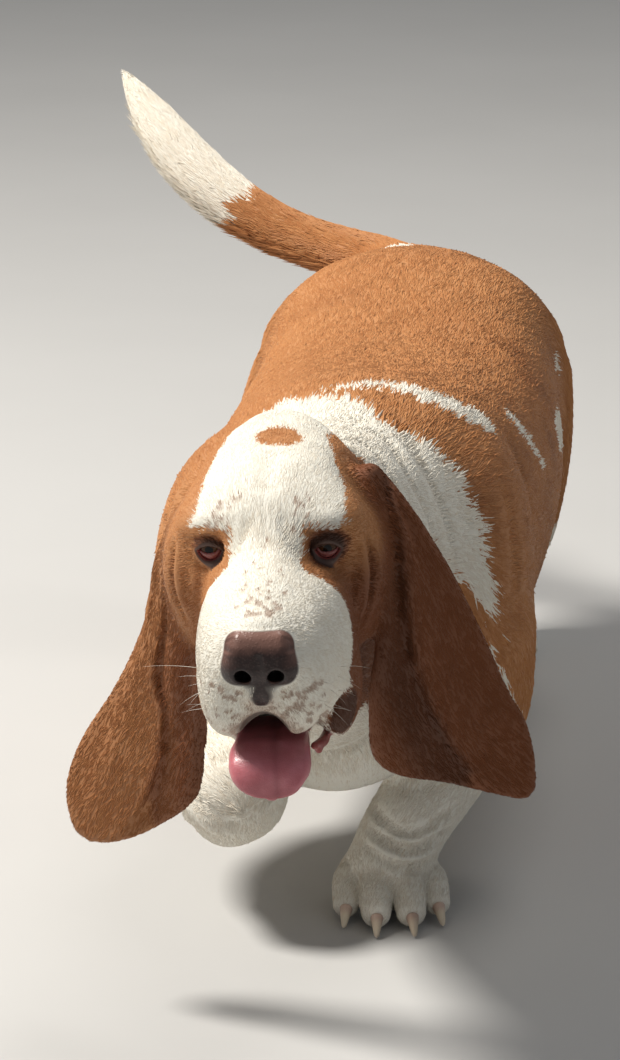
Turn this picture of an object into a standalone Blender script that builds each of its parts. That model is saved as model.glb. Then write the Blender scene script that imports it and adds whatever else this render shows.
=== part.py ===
"""A basset hound, walking, as a still life-size model.

The body is one soft form, blended from named bones, muscles and folds of skin,
polygonised, thinned and then parted with thin cuts into its named pieces.
Metres, +Z up; the dog faces -Y, its left side is +X, its feet stand on z = 0.
"""
import math

import bmesh
import bpy
import numpy as np
import openvdb
from mathutils import Matrix, Vector

SAMPLE = 4.0             # mm between samples of the form
GAP = 0.4                # mm between neighbouring pieces
BODY_TRIANGLES = 4900    # over the whole body


# ---------------------------------------------------------------------------
# The basset's form: named bones, muscles and folds of skin, in millimetres,
# blended into one closed surface.  The dog faces -Y, its left is +X, +Z is up.
# ---------------------------------------------------------------------------
MM = 0.001


def rot(rx=0.0, ry=0.0, rz=0.0):
    """Rotation matrix from degrees about X, then Y, then Z."""
    a, b, c = (math.radians(v) for v in (rx, ry, rz))
    mx = np.array([[1, 0, 0], [0, math.cos(a), -math.sin(a)], [0, math.sin(a), math.cos(a)]])
    my = np.array([[math.cos(b), 0, math.sin(b)], [0, 1, 0], [-math.sin(b), 0, math.cos(b)]])
    mz = np.array([[math.cos(c), -math.sin(c), 0], [math.sin(c), math.cos(c), 0], [0, 0, 1]])
    return (mz @ my @ mx).astype(np.float32)


def smooth_min(a, b, k):
    """The lesser of two distances, with their meeting rounded over k millimetres."""
    if k <= 0:
        return np.minimum(a, b)
    h = np.maximum(k - np.abs(a - b), 0.0) / k
    return np.minimum(a, b) - h * h * (k * 0.25)


def smooth_curve(keys, n=65):
    """A smooth line through key points (rows of numbers), as n evenly spaced rows."""
    keys = np.asarray(keys, float)
    chord = np.r_[0, np.cumsum(np.linalg.norm(np.diff(keys[:, :3], axis=0), axis=1) + 1e-6)]
    slope = np.gradient(keys, chord, axis=0)
    at = np.linspace(0, chord[-1], n)
    i = np.clip(np.searchsorted(chord, at, side="right") - 1, 0, len(keys) - 2)
    h = (chord[i + 1] - chord[i])[:, None]
    t = ((at - chord[i])[:, None]) / h
    t2, t3 = t * t, t * t * t
    return ((2 * t3 - 3 * t2 + 1) * keys[i] + (t3 - 2 * t2 + t) * h * slope[i]
            + (3 * t2 - 2 * t3) * keys[i + 1] + (t3 - t2) * h * slope[i + 1])


class Form:
    """One rounded mass: a box outside which it can't matter, a distance, and how softly it joins."""

    def __init__(self, low, high, distance, k=0.0, carve=False, tag=""):
        self.low, self.high = np.asarray(low, np.float32), np.asarray(high, np.float32)
        self.distance, self.k, self.carve, self.tag = distance, float(k), carve, tag


def egg(c, r, k=10, turn=(0, 0, 0), **more):
    c, r, m = np.asarray(c, np.float32), np.asarray(r, np.float32), rot(*turn)
    reach = np.abs(m) @ r

    def distance(p):
        q = (p - c) @ m
        k0 = np.sqrt(((q / r) ** 2).sum(1))
        k1 = np.sqrt(((q / (r * r)) ** 2).sum(1)) + 1e-9
        return k0 * (k0 - 1.0) / k1

    return Form(c - reach, c + reach, distance, k, **more)


def block(c, half, r, k=5, turn=(0, 0, 0), **more):
    """A box with well rounded edges."""
    c, half, m = np.asarray(c, np.float32), np.asarray(half, np.float32), rot(*turn)
    reach = np.abs(m) @ (half + r)

    def distance(p):
        q = np.abs((p - c) @ m) - half
        return np.linalg.norm(np.maximum(q, 0), axis=1) + np.minimum(q.max(1), 0) - r

    return Form(c - reach, c + reach, distance, k, **more)


def bone(a, b, ra, rb, k=10, **more):
    """A round cone: two balls and their common hull."""
    a, b = np.asarray(a, np.float32), np.asarray(b, np.float32)
    ba = b - a
    ll = float(ba @ ba)
    rr = ra - rb
    a2 = ll - rr * rr
    il = 1.0 / ll

    def distance(p):
        pa = p - a
        y = pa @ ba
        z = y - ll
        x2 = ((pa * ll - np.outer(y, ba)) ** 2).sum(1)
        y2, z2 = y * y * ll, z * z * ll
        kk = np.sign(rr) * rr * rr * x2
        out = (np.sqrt(x2 * a2 * il) + y * rr) * il - ra
        top = np.sign(z) * a2 * z2 > kk
        low = np.sign(y) * a2 * y2 < kk
        out = np.where(low, np.sqrt(x2 + y2) * il - ra, out)
        return np.where(top, np.sqrt(x2 + z2) * il - rb, out)

    r = max(ra, rb)
    return Form(np.minimum(a, b) - r, np.maximum(a, b) + r, distance, k, **more)


def limb(keys, k=10, n=9, flat=1.0, across=(1, 0, 0), **more):
    """Round cones along a smooth line; keys are x, y, z, radius. flat under 1 thins it along across."""
    row = smooth_curve(keys, n).astype(np.float32)
    u = np.asarray(across, np.float32)
    u = u / np.linalg.norm(u)
    mid = row[:, :3].mean(0)

    def squeeze(p):
        d = (p - mid) @ u
        return p + np.outer(d * (1.0 / flat - 1.0), u)

    thin = squeeze(row[:, :3]) if flat != 1.0 else row[:, :3]
    parts = [bone(thin[i], thin[i + 1], row[i, 3], row[i + 1, 3]) for i in range(n - 1)]

    def distance(p):
        q = squeeze(p).astype(np.float32) if flat != 1.0 else p
        d = parts[0].distance(q)
        for part in parts[1:]:
            d = np.minimum(d, part.distance(q))
        return d * (flat if flat < 1.0 else 1.0)

    r = row[:, 3].max() + 2
    return Form(row[:, :3].min(0) - r, row[:, :3].max(0) + r, distance, k, **more)


def loft(keys, k=10, nt=2.2, nb=2.0, **more):
    """A barrel along Y. Keys: y, x of its middle, half width, top, bottom, height of its widest line."""
    keys = np.asarray(keys, float)
    ys = keys[:, 0]
    fine = np.linspace(ys[0], ys[-1], 129)
    slope = np.gradient(keys[:, 1:], ys, axis=0)
    i = np.clip(np.searchsorted(ys, fine, side="right") - 1, 0, len(ys) - 2)
    h = (ys[i + 1] - ys[i])[:, None]
    t = (fine - ys[i])[:, None] / h
    t2, t3 = t * t, t ** 3
    table = ((2 * t3 - 3 * t2 + 1) * keys[i, 1:] + (t3 - 2 * t2 + t) * h * slope[i]
             + (3 * t2 - 2 * t3) * keys[i + 1, 1:] + (t3 - t2) * h * slope[i + 1])

    def distance(p):
        xc, hw, top, bot, zw = (np.interp(p[:, 1], fine, table[:, j]) for j in range(5))
        up = p[:, 2] > zw
        hh = np.where(up, top - zw, zw - bot)
        n = np.where(up, nt, nb)
        a = np.abs(p[:, 0] - xc) / hw + 1e-6
        b = np.abs(p[:, 2] - zw) / hh + 1e-6
        q = (a ** n + b ** n) ** (1.0 / n)
        g = np.sqrt((a ** (n - 1) / hw) ** 2 + (b ** (n - 1) / hh) ** 2) / q ** (n - 1)
        d = np.maximum((q - 1.0) / g, -60.0)
        ends = np.maximum(ys[0] - p[:, 1], p[:, 1] - ys[-1])
        return np.maximum(d, ends).astype(np.float32)

    low = [(keys[:, 1] - keys[:, 2]).min(), ys[0], keys[:, 4].min()]
    high = [(keys[:, 1] + keys[:, 2]).max(), ys[-1], keys[:, 3].max()]
    return Form(low, high, distance, k, **more)


def leaf(keys, thick, k=6, n=41, fold=None, **more):
    """A sheet such as an ear. Keys: x, y, z, width to the far and the near side, the near side's direction
    (x, y, z), curl (bend across, per mm) and a thickness factor."""
    row = smooth_curve(keys, n)
    c, far, near, side, curl, tf = row[:, :3], row[:, 3], row[:, 4], row[:, 5:8], row[:, 8], row[:, 9]
    along = np.gradient(c, axis=0)
    along /= np.linalg.norm(along, axis=1)[:, None]
    side = side - along * (side * along).sum(1)[:, None]
    side /= np.linalg.norm(side, axis=1)[:, None]
    out = np.cross(along, side)
    table = np.column_stack([c, side, out, along, far, near, curl, thick * tf]).astype(np.float32)

    def distance(p):
        seg_t, seg_e = [], []
        for i in range(n - 1):
            d = (c[i + 1] - c[i]).astype(np.float32)
            t = ((p - c[i].astype(np.float32)) @ d) / float(d @ d)
            t = np.clip(t, 0 if i else -9.0, 1 if i < n - 2 else 9.0)
            seg_t.append(i + t)
            seg_e.append(np.sqrt(((p - (c[i].astype(np.float32) + np.outer(np.clip(t, 0, 1), d))) ** 2).sum(1)))
        seg_t, seg_e = np.array(seg_t, np.float32), np.array(seg_e, np.float32)
        weight = np.exp(-(seg_e - seg_e.min(0)) / 1.2)
        at = (weight * seg_t).sum(0) / weight.sum(0)
        i = np.clip(at, 0, n - 1.0001).astype(int)
        t = np.clip(at - i, 0, 1)[:, None]
        v = table[i] * (1 - t) + table[i + 1] * t
        o = p - v[:, :3]
        u = (o * v[:, 3:6]).sum(1)
        h = (o * v[:, 6:9]).sum(1)
        w = (o * v[:, 9:12]).sum(1)
        lo, hi, cu, th = v[:, 12], v[:, 13], v[:, 14], v[:, 15]
        hw, mid = (lo + hi) * 0.5, (hi - lo) * 0.5
        s = np.clip(at / (n - 1), 0, 1)
        um = u - mid
        h = h - cu * (um * um - hw * hw * 0.33)
        if fold is not None:
            h = h - fold(u, s, w)
        slope = 1.0 / np.sqrt(1.0 + (2 * cu * um) ** 2)
        over = (at > n - 1) | (at < 0)
        end = np.abs(w) * over
        a = np.maximum(np.abs(um) - (hw - th), 0)
        return (np.sqrt(a * a + end * end + (h * slope) ** 2) - th).astype(np.float32)

    r = max(far.max(), near.max()) + thick + 4
    return Form(c.min(0) - r, c.max(0) + r, distance, k, **more)


def placed(form, origin, m):
    """A form made in another frame, such as the head's own, moved to the dog's."""
    origin, m = np.asarray(origin, np.float32), np.asarray(m, np.float32)
    corners = np.array([[x, y, z] for x in (form.low[0], form.high[0]) for y in (form.low[1], form.high[1])
                        for z in (form.low[2], form.high[2])]) @ m.T + origin
    return Form(corners.min(0), corners.max(0), lambda p: form.distance((p - origin) @ m), form.k, form.carve, form.tag)


def mirrored(form):
    """The same form on both sides of its own frame's middle plane."""
    low, high = form.low.copy(), form.high.copy()
    reach = max(abs(low[0]), abs(high[0]))
    low[0], high[0] = -reach, reach

    def distance(p):
        q = p.copy()
        q[:, 0] = np.abs(q[:, 0])
        return form.distance(q)

    return Form(low, high, distance, form.k, form.carve, form.tag)


def blended(forms, points, far=40.0):
    """Distance from each point to the joined surface, in mm, under zero inside."""
    points = np.asarray(points, np.float32)
    out = np.full(len(points), far, np.float32)
    for f in forms:
        pad = f.k + 12.0
        near = np.flatnonzero(((points > f.low - pad) & (points < f.high + pad)).all(1))
        if not len(near):
            continue
        d = f.distance(points[near]).astype(np.float32)
        if f.carve:
            out[near] = -smooth_min(-out[near], d, f.k)
        else:
            out[near] = smooth_min(out[near], d, f.k)
    return out

# ---- named sizes, in millimetres ------------------------------------------
WITHERS = 358.0          # height at the shoulder blades
EYE_HEIGHT = 348.0       # where the head is carried
EYE_GAP = 66.4           # eye to eye
MUZZLE = 110.0           # eye to nose
HEAD_AT = (7.5, -498.0, EYE_HEIGHT)
HEAD_TURN = (3.0, -2.0, 5.6)   # nose down, tilt, turned to its left
EYE_R = 11.5
CENTRE = (-58.7, -80.2)   # middle of the dog's outline on the floor: the part's origin


def head_forms():
    """The head in its own frame: the origin between the eyes, the nose along -Y."""
    f = []
    f.append(egg((0, 62, 1), (54, 74, 46), 0))                         # brain case
    f.append(egg((0, 112, 18), (26, 34, 24), 26))                      # occiput
    f.append(egg((0, 22, 7), (42, 40, 33), 30))                       # forehead
    f.append(mirrored(egg((33, 6, 11), (24, 24, 16), 16)))             # brow
    f.append(mirrored(egg((46, 36, -22), (23, 44, 30), 22)))           # cheek bone
    f.append(mirrored(egg((42, 46, -52), (24, 44, 36), 24)))           # cheek
    f.append(limb([(0, 8, -7, 30), (0, -30, -14, 25), (0, -66, -21, 23), (0, -92, -28, 21)], 22, 9))   # bridge
    f.append(egg((24, -62, -48), (24, 48, 38), 22))                    # upper lips, fore: the left one hangs wider
    f.append(egg((-18, -62, -48), (22, 48, 38), 22))
    f.append(egg((32, -30, -58), (20, 46, 42), 20))                    # upper lips, rear
    f.append(egg((-23, -30, -58), (18, 46, 42), 20))
    f.append(egg((0, -88, -46), (33, 22, 30), 14))                     # front of the muzzle
    f.append(mirrored(egg((19, -92, -66), (15, 17, 22), 12)))          # lip beneath the nose
    f.append(egg((41, -46, -82), (12.5, 24, 27), 16))                  # flews
    f.append(egg((-28, -46, -82), (12, 25, 25), 16))
    f.append(egg((38, -18, -88), (12.5, 24, 24), 16))                  # corners of the mouth
    f.append(egg((-31, -20, -88), (12.5, 24, 24), 16))
    f.append(limb([(0, 40, -66, 40), (0, 0, -90, 30), (0, -46, -113, 20), (0, -66, -121, 15)], 16, 9))  # lower jaw
    f.append(limb([(0, 70, -60, 46), (0, 36, -92, 34), (0, 6, -112, 22)], 20, 7))                         # throat
    f += nose_forms()
    return f


def nose_forms():
    f = [block((0, -105.5, -32.0), (11.0, 5.5, 6.0), 9.0, 3.5, turn=(-8, 0, 0), tag="nose")]    # nose pad
    f.append(mirrored(egg((14.3, -105.8, -39.0), (9.4, 12.5, 10.8), 5)))     # wing of the nostril
    f.append(egg((0, -106.5, -52), (11.5, 10.5, 11), 6))                    # foot of the nose
    return f


def mouth_forms():
    f = []
    f.append(egg((0, -74, -96), (21, 50, 15), 8, carve=True, turn=(12, 0, 0)))     # open mouth
    f.append(egg((0, -108, -84), (13, 20, 12), 8, carve=True))                      # arch of the lip
    f.append(mirrored(egg((10.3, -121, -41.5), (4.5, 13, 4.7), 1.8, carve=True, turn=(0, 25, 14))))   # nostril
    f.append(limb([(0, -121, -30, 1.0), (0, -120.5, -50, 1.3), (0, -114, -62, 1.7), (0, -109, -76, 2.2)], 4, 9, carve=True))  # groove under the nose
    return f


def eye_forms():
    return [mirrored(egg((33.7, -12.0, 0.5), (12.5, 11.0, 9.0), 6, carve=True, turn=(0, 8, -18)))]


EYES = {"R": (-33.2, -4.0, 1.0), "L": (33.2, -4.0, 1.0)}


def paw(c, yaw, scale=1.0, pitch=0.0, roll=0.0):
    m = rot(pitch, roll, yaw)
    f = [egg((0, 7, 20), (34, 33, 20), 12)]
    for x, y, r, out in ((-29.5, -16, 10.8, -12), (-11, -32, 12.0, -3), (11.5, -32, 12.0, 3), (29.5, -16, 10.8, 12)):
        f.append(limb([(x * 0.76, y + 25, 23, r), (x, y + 4, 21.5, r + 1.0), (x * 1.07, y - 13, 11.5, r - 0.5)], 3.5, 5))
    f.append(egg((0, 4, 8), (27, 26, 11), 6))
    out = []
    for g in f:
        if scale != 1.0:
            d, s = g.distance, scale
            g = Form(g.low * s, g.high * s, (lambda d, s: lambda p: d(p / s) * s)(d, s), g.k * s)
        out.append(placed(g, c, m))
    return out


def claws(c, yaw, scale=1.0, pitch=0.0, roll=0.0):
    """Root, direction and size of the four claws of a paw."""
    m = rot(pitch, roll, yaw)
    out = []
    for x, y, r in ((-29.5, -16, 10.8), (-11, -32, 12.0), (11.5, -32, 12.0), (29.5, -16, 10.8)):
        at = np.array([x * 1.08, y - 13 - r + 4.0, 11.5]) * scale
        aim = np.array([x * 0.006, -0.86, -0.44])
        out.append((np.asarray(c) + m @ at, m @ (aim / np.linalg.norm(aim)), scale))
    return out


LF_PAW = ((45, -228, 0), 12)
RH_PAW = ((-100, 100, 0), -10)
LH_PAW = ((57, 318, 0), 8)
RF_PAW = ((-64, -255, 87), -4, 0.80, 156, 4)       # the lifted one: place, heading, size, pitch, roll


def body_forms():
    f = []
    f.append(loft([(-306, 8, 20, 218, 158, 188), (-284, 8, 56, 262, 109, 188), (-250, 9, 86, 306, 91, 194), (-205, 9, 106, 340, 90, 203),
                   (-150, 10, 119, 356, 91, 215), (-80, 10, 125, 350, 97, 222), (0, 10, 128, 342, 108, 228),
                   (80, 9, 127, 340, 122, 236), (150, 6, 121, 346, 138, 244), (215, 1, 114, 353, 158, 252),
                   (280, -3, 103, 353, 188, 260), (325, -5, 84, 342, 212, 266), (355, -6, 56, 322, 234, 272), (372, -6, 16, 292, 262, 276)], 0, 2.35, 2.1))
    # neck and dewlap
    f.append(limb([(9, -170, 262, 84), (8, -250, 278, 79), (6, -330, 300, 68), (4, -395, 326, 56)], 40, 25))
    f.append(limb([(8, -220, 186, 64), (9, -300, 200, 58), (12, -375, 226, 46), (14, -430, 246, 32)], 30, 19))
    # shoulders
    f.append(mirrored(egg((90, -168, 215), (42, 62, 88), 34, turn=(-12, 0, 0))))
    f.append(mirrored(egg((86, -158, 152), (38, 52, 52), 30)))
    # haunches
    f.append(mirrored(egg((62, 242, 245), (50, 84, 84), 34)))
    # left foreleg, planted
    f.append(limb([(92, -168, 175, 46), (98, -160, 126, 37), (78, -196, 86, 31), (55, -224, 54, 30.5), (45, -232, 30, 30)], 18, 17))
    f.append(egg((100, -140, 128), (24, 24, 26), 16))                                  # elbow
    f += paw(LF_PAW[0], LF_PAW[1])
    # right foreleg, lifted, the wrist bent
    f.append(limb([(-92, -168, 178, 46), (-104, -178, 138, 38), (-93, -236, 115, 34), (-57, -283, 106, 36)], 18, 17))
    f.append(egg((-106, -146, 146), (24, 24, 26), 16))
    f.append(limb([(-52, -290, 100, 36), (-57, -286, 86, 27), (-62, -268, 75, 20)], 12, 7))
    f += paw(*RF_PAW)
    # right hind leg, forward
    f.append(limb([(-64, 232, 258, 62), (-88, 172, 205, 52), (-98, 132, 164, 40), (-103, 150, 116, 29), (-100, 170, 84, 25), (-100, 144, 48, 24), (-100, 116, 24, 25)], 24, 25))
    f += paw(RH_PAW[0], RH_PAW[1], 0.9)
    # left hind leg, back
    f.append(limb([(62, 244, 255, 62), (78, 208, 200, 52), (82, 204, 152, 39), (76, 258, 122, 29), (68, 330, 104, 24), (61, 350, 80, 23), (58, 344, 46, 24), (57, 332, 24, 25)], 24, 25))
    f += paw(LH_PAW[0], LH_PAW[1], 0.9)
    # tail
    f.append(limb(TAIL, 18, 33))
    return f


TAIL = [(-6, 318, 312, 27), (-38, 354, 318, 25), (-80, 376, 324, 23), (-125, 390, 334, 22.5), (-170, 402, 353, 24.5),
        (-212, 418, 382, 25), (-250, 436, 420, 19), (-269, 445, 443, 11), (-278, 450, 455, 5)]

# the spine of each ear: x, y, z, width to the rear and to the front edge, direction of the front edge, curl, thickness
EAR_R = [(-58, -440, 338, 14, 20, 0.30, -0.92, 0.1, 0.000, 1.6), (-70, -438, 310, 12, 30, 0.50, -0.84, 0.1, -0.006, 1.3),
         (-77, -436, 275, 12, 48, 0.68, -0.70, 0.1, -0.006, 1.0), (-87, -432, 240, 14, 57, 0.80, -0.55, 0.1, -0.005, 1.0),
         (-96, -428, 208, 20, 62, 0.86, -0.45, 0.1, -0.003, 1.0), (-106, -425, 178, 28, 65, 0.90, -0.40, 0.1, -0.003, 1.0),
         (-116, -423, 150, 29, 48, 0.92, -0.35, 0.1, -0.003, 0.9), (-124, -422, 130, 22, 29, 0.92, -0.35, 0.1, -0.002, 0.9),
         (-129, -421, 119, 9, 11, 0.92, -0.35, 0.1, 0.0, 0.9)]
EAR_L = [(57, -430, 370, 14, 16, -0.30, -0.92, 0.0, 0.000, 1.7), (75, -434, 346, 18, 22, -0.40, -0.89, 0.0, 0.004, 1.4),
         (90, -435, 314, 24, 31, -0.60, -0.76, 0.0, 0.006, 1.1), (101, -432, 280, 28, 45, -0.74, -0.62, 0.0, 0.005, 1.0),
         (112, -428, 246, 30, 61, -0.82, -0.50, 0.0, 0.003, 1.0), (124, -425, 216, 30, 68, -0.86, -0.43, 0.0, 0.003, 1.0),
         (139, -420, 188, 28, 34, -0.86, -0.40, 0.0, 0.002, 0.9), (152, -417, 170, 18, 15, -0.86, -0.40, 0.0, 0.0, 0.9),
         (159, -415, 162, 8, 7, -0.86, -0.40, 0.0, 0.0, 0.9)]

TONGUE = [(1, -36, -106, 20, 20, 1, 0, 0, -0.004, 1.0), (2, -74, -101, 23, 23, 1, 0, 0, -0.006, 1.0), (2, -94, -100, 24.5, 24.5, 1, 0, 0, -0.008, 1.0),
          (2.5, -104, -105, 24.5, 24.5, 1, 0, 0, -0.009, 1.0), (3, -108, -112, 21.5, 21.5, 1, 0, 0, -0.006, 0.9), (3.5, -109.3, -117.5, 14, 14, 1, 0, 0, 0, 0.8),
          (3.5, -109.6, -121, 4, 4, 1, 0, 0, 0, 0.7)]


def all_forms():
    m = rot(*HEAD_TURN)
    f = body_forms()
    head = [placed(g, HEAD_AT, m) for g in head_forms()]
    head[0].k = 30
    f += head
    f.append(leaf(EAR_R, 5.0, 9))
    f.append(leaf(EAR_L, 5.0, 9))
    f += [placed(g, HEAD_AT, m) for g in mouth_forms() + eye_forms()]
    f.append(tongue_form(1.6, carve=True))
    return f


def tongue_form(extra=0.0, **more):
    return placed(leaf(TONGUE, 4.5 + extra, 2, **more), HEAD_AT, rot(*HEAD_TURN))



def surface(forms, low, high, step, chunk=400000, floor=True):
    """Quads on the joined surface of the forms, sampled every step millimetres."""
    low, high = np.asarray(low, float), np.asarray(high, float)
    n = np.ceil((high - low) / step).astype(int) + 1
    axes = [low[a] + step * np.arange(n[a]) for a in range(3)]
    grid = np.full(n, 40.0, np.float32)
    for f in forms:
        pad = f.k + 2.5 * step + 2
        i0 = np.maximum(((f.low - pad - low) / step).astype(int), 0)
        i1 = np.minimum(((f.high + pad - low) / step).astype(int) + 2, n)
        if (i1 <= i0).any():
            continue
        xs, ys, zs = (axes[a][i0[a]:i1[a]] for a in range(3))
        for xa in range(0, len(xs), max(1, chunk // (len(ys) * len(zs)))):
            xb = min(len(xs), xa + max(1, chunk // (len(ys) * len(zs))))
            p = np.stack(np.meshgrid(xs[xa:xb], ys, zs, indexing="ij"), -1).reshape(-1, 3).astype(np.float32)
            sub = grid[i0[0] + xa:i0[0] + xb, i1[1] - len(ys):i1[1], i1[2] - len(zs):i1[2]]
            d = f.distance(p).reshape(sub.shape).astype(np.float32)
            sub[...] = -smooth_min(-sub, d, f.k) if f.carve else smooth_min(sub, d, f.k)
    if floor:
        grid = np.maximum(grid, -axes[2].astype(np.float32)[None, None, :])
    tree = openvdb.FloatGrid(40.0)
    tree.copyFromArray(np.clip(grid, -40, 40), tolerance=0.0)
    points, quads = tree.convertToQuads(isovalue=0.0)
    return points * step + low, quads[:, ::-1]



# ---- from the form to named solids -----------------------------------------
for old in list(bpy.data.objects):
    bpy.data.objects.remove(old, do_unlink=True)
hound = bpy.data.collections.new("basset_hound")
cutters = bpy.data.collections.new("cutters")
bpy.context.scene.collection.children.link(hound)
bpy.context.scene.collection.children.link(cutters)


def paint(name, colour, rough):
    m = bpy.data.materials.new(name)
    m.use_nodes = True
    shader = m.node_tree.nodes["Principled BSDF"]
    shader.inputs["Base Color"].default_value = (*colour, 1.0)
    shader.inputs["Roughness"].default_value = rough
    shader.inputs["Metallic"].default_value = 0.0
    m.diffuse_color = (*colour, 1.0)
    return m


RED_COAT = ((0.36, 0.13, 0.045), 0.75)
WHITE_COAT = ((0.78, 0.74, 0.67), 0.75)
LIVER = ((0.20, 0.10, 0.085), 0.4)
PINK = ((0.55, 0.16, 0.19), 0.3)
BROWN_EYE = ((0.06, 0.025, 0.012), 0.08)
HORN = ((0.72, 0.58, 0.46), 0.4)


def link(obj, collection=hound):
    for c in obj.users_collection:
        c.objects.unlink(obj)
    collection.objects.link(obj)
    return obj


def solid(name, points, faces):
    mesh = bpy.data.meshes.new(name)
    mesh.from_pydata((np.asarray(points) * MM).tolist(), [], [list(f) for f in faces])
    mesh.update()
    return link(bpy.data.objects.new(name, mesh))


def settled(obj):
    """The object's mesh with its modifiers applied."""
    view = bpy.context.evaluated_depsgraph_get()
    mesh = bpy.data.meshes.new_from_object(obj.evaluated_get(view))
    obj.modifiers.clear()
    obj.data = mesh
    return obj


def triangulated(obj):
    bm = bmesh.new()
    bm.from_mesh(obj.data)
    bmesh.ops.dissolve_degenerate(bm, edges=bm.edges[:], dist=2e-5)
    bmesh.ops.triangulate(bm, faces=bm.faces[:])
    if bm.calc_volume(signed=True) < 0:
        bmesh.ops.reverse_faces(bm, faces=bm.faces[:])
    bm.to_mesh(obj.data)
    bm.free()
    return obj


def largest_piece(obj):
    """Drops crumbs left by a cut."""
    bm = bmesh.new()
    bm.from_mesh(obj.data)
    bm.verts.ensure_lookup_table()
    seen, groups = set(), []
    for v in bm.verts:
        if v.index in seen:
            continue
        stack, group = [v], []
        seen.add(v.index)
        while stack:
            w = stack.pop()
            group.append(w)
            for e in w.link_edges:
                o = e.other_vert(w)
                if o.index not in seen:
                    seen.add(o.index)
                    stack.append(o)
        groups.append(group)
    groups.sort(key=len)
    for group in groups[:-1]:
        bmesh.ops.delete(bm, geom=group, context="VERTS")
    bm.to_mesh(obj.data)
    bm.free()
    return obj


def prism(profile, plane, low, high, grow=0.0, turn=None, at=(0, 0, 0)):
    """A cutter: an outline in the plane XY, XZ or YZ, drawn out along the third axis from low to high."""
    p = np.asarray(profile, float)
    area = 0.5 * np.sum(p[:, 0] * np.roll(p[:, 1], -1) - np.roll(p[:, 0], -1) * p[:, 1])
    if area < 0:
        p = p[::-1]
    n = len(p)
    grown = []
    for i in range(n):
        a, b, c = p[i - 1], p[i], p[(i + 1) % n]
        d1, d2 = (b - a) / np.linalg.norm(b - a), (c - b) / np.linalg.norm(c - b)
        n1, n2 = np.array([d1[1], -d1[0]]), np.array([d2[1], -d2[0]])
        grown.append(b + grow * (n1 + n2) / (1.0 + float(n1 @ n2)))
    axes = {"XY": (0, 1, 2), "XZ": (0, 2, 1), "YZ": (1, 2, 0)}[plane]
    points = []
    for level in (low - grow, high + grow):
        for q in grown:
            v = [0.0, 0.0, 0.0]
            v[axes[0]], v[axes[1]], v[axes[2]] = q[0], q[1], level
            points.append(v)
    points = np.array(points)
    if turn is not None:
        points = points @ np.asarray(turn, float).T + np.asarray(at, float)
    faces = [list(range(n))[::-1], [n + i for i in range(n)]]
    faces += [[i, (i + 1) % n, n + (i + 1) % n, n + i] for i in range(n)]
    obj = solid("cutter", points, faces)
    link(obj, cutters)
    bm = bmesh.new()
    bm.from_mesh(obj.data)
    bmesh.ops.recalc_face_normals(bm, faces=bm.faces[:])
    bm.to_mesh(obj.data)
    bm.free()
    obj.hide_render = True
    obj.display_type = "WIRE"
    return obj


def boolean(obj, cutter, operation):
    m = obj.modifiers.new("cut", "BOOLEAN")
    m.operation = operation
    m.solver = "EXACT"
    m.object = cutter
    settled(obj)
    bpy.data.objects.remove(cutter, do_unlink=True)
    return largest_piece(triangulated(obj))


def part_off(source, name, *args, **more):
    """Cuts the piece inside a prism off the source, with a thin gap between them."""
    piece = link(bpy.data.objects.new(name, source.data.copy()))
    boolean(piece, prism(*args, **more), "INTERSECT")
    boolean(source, prism(*args, grow=GAP, **more), "DIFFERENCE")
    return piece


def ball(name, centre, radius, segments=14, rings=8):
    bpy.ops.mesh.primitive_uv_sphere_add(segments=segments, ring_count=rings, radius=radius * MM,
                                         location=[float(v) * MM for v in centre])
    obj = bpy.context.object
    obj.name = name
    return triangulated(settled(obj))


def claw(name, root, aim, size, grow=0.0):
    """A claw: a cone that droops towards its tip."""
    bm = bmesh.new()
    length, thick = 14.0 * size, 3.9 * size + grow
    bmesh.ops.create_cone(bm, cap_ends=True, segments=7, radius1=thick * MM, radius2=(1.3 * size + grow) * MM,
                          depth=(length + 2 * grow) * MM)
    bmesh.ops.subdivide_edges(bm, edges=[e for e in bm.edges if abs((e.verts[0].co - e.verts[1].co).z) > 1e-4], cuts=1)
    turn = Vector(aim).to_track_quat("Z", "Y").to_matrix()
    down = turn.inverted() @ Vector((0, 0, -1))
    down.z = 0
    for v in bm.verts:
        s = (v.co.z / MM + length / 2) / length
        v.co += down * (3.2 * size * s * s * MM)
        v.co.z += length / 2 * MM
        v.co = turn @ v.co + Vector([float(c) * MM for c in root])
    mesh = bpy.data.meshes.new(name)
    bm.to_mesh(mesh)
    bm.free()
    return triangulated(link(bpy.data.objects.new(name, mesh)))


# the whole body, thinned less where it is finely shaped
points, quads = surface(all_forms(), (-330, -680, -24), (230, 480, 500), SAMPLE, floor=False)
body = triangulated(solid("trunk", points, quads))
fine = body.vertex_groups.new(name="fine")
x, y, z = points.T
weight = np.full(len(points), 1.0)
weight[(y < -400)] = 0.62
weight[(y < -490) & (z > 200)] = 0.46
weight[(z < 130)] = 0.75
weight[(z < 45)] = 0.60
weight[(y < -250) & (z < 115) & (x < -25)] = 0.65
weight[(x < -60) & (y > 345) & (z > 290)] = 0.70
for value in np.unique(weight):
    fine.add(np.flatnonzero(weight == value).tolist(), float(value), "REPLACE")
thin = body.modifiers.new("thin", "DECIMATE")
thin.ratio = BODY_TRIANGLES / len(body.data.polygons)
thin.vertex_group = "fine"
thin.vertex_group_factor = 1.0
settled(body)
body.vertex_groups.clear()
triangulated(body)

# flats under the feet
boolean(body, prism([(-400, -800), (400, -800), (400, 800), (-400, 800)], "XY", -60, 0.0), "DIFFERENCE")

pieces = {}
turn = rot(*HEAD_TURN)

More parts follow.
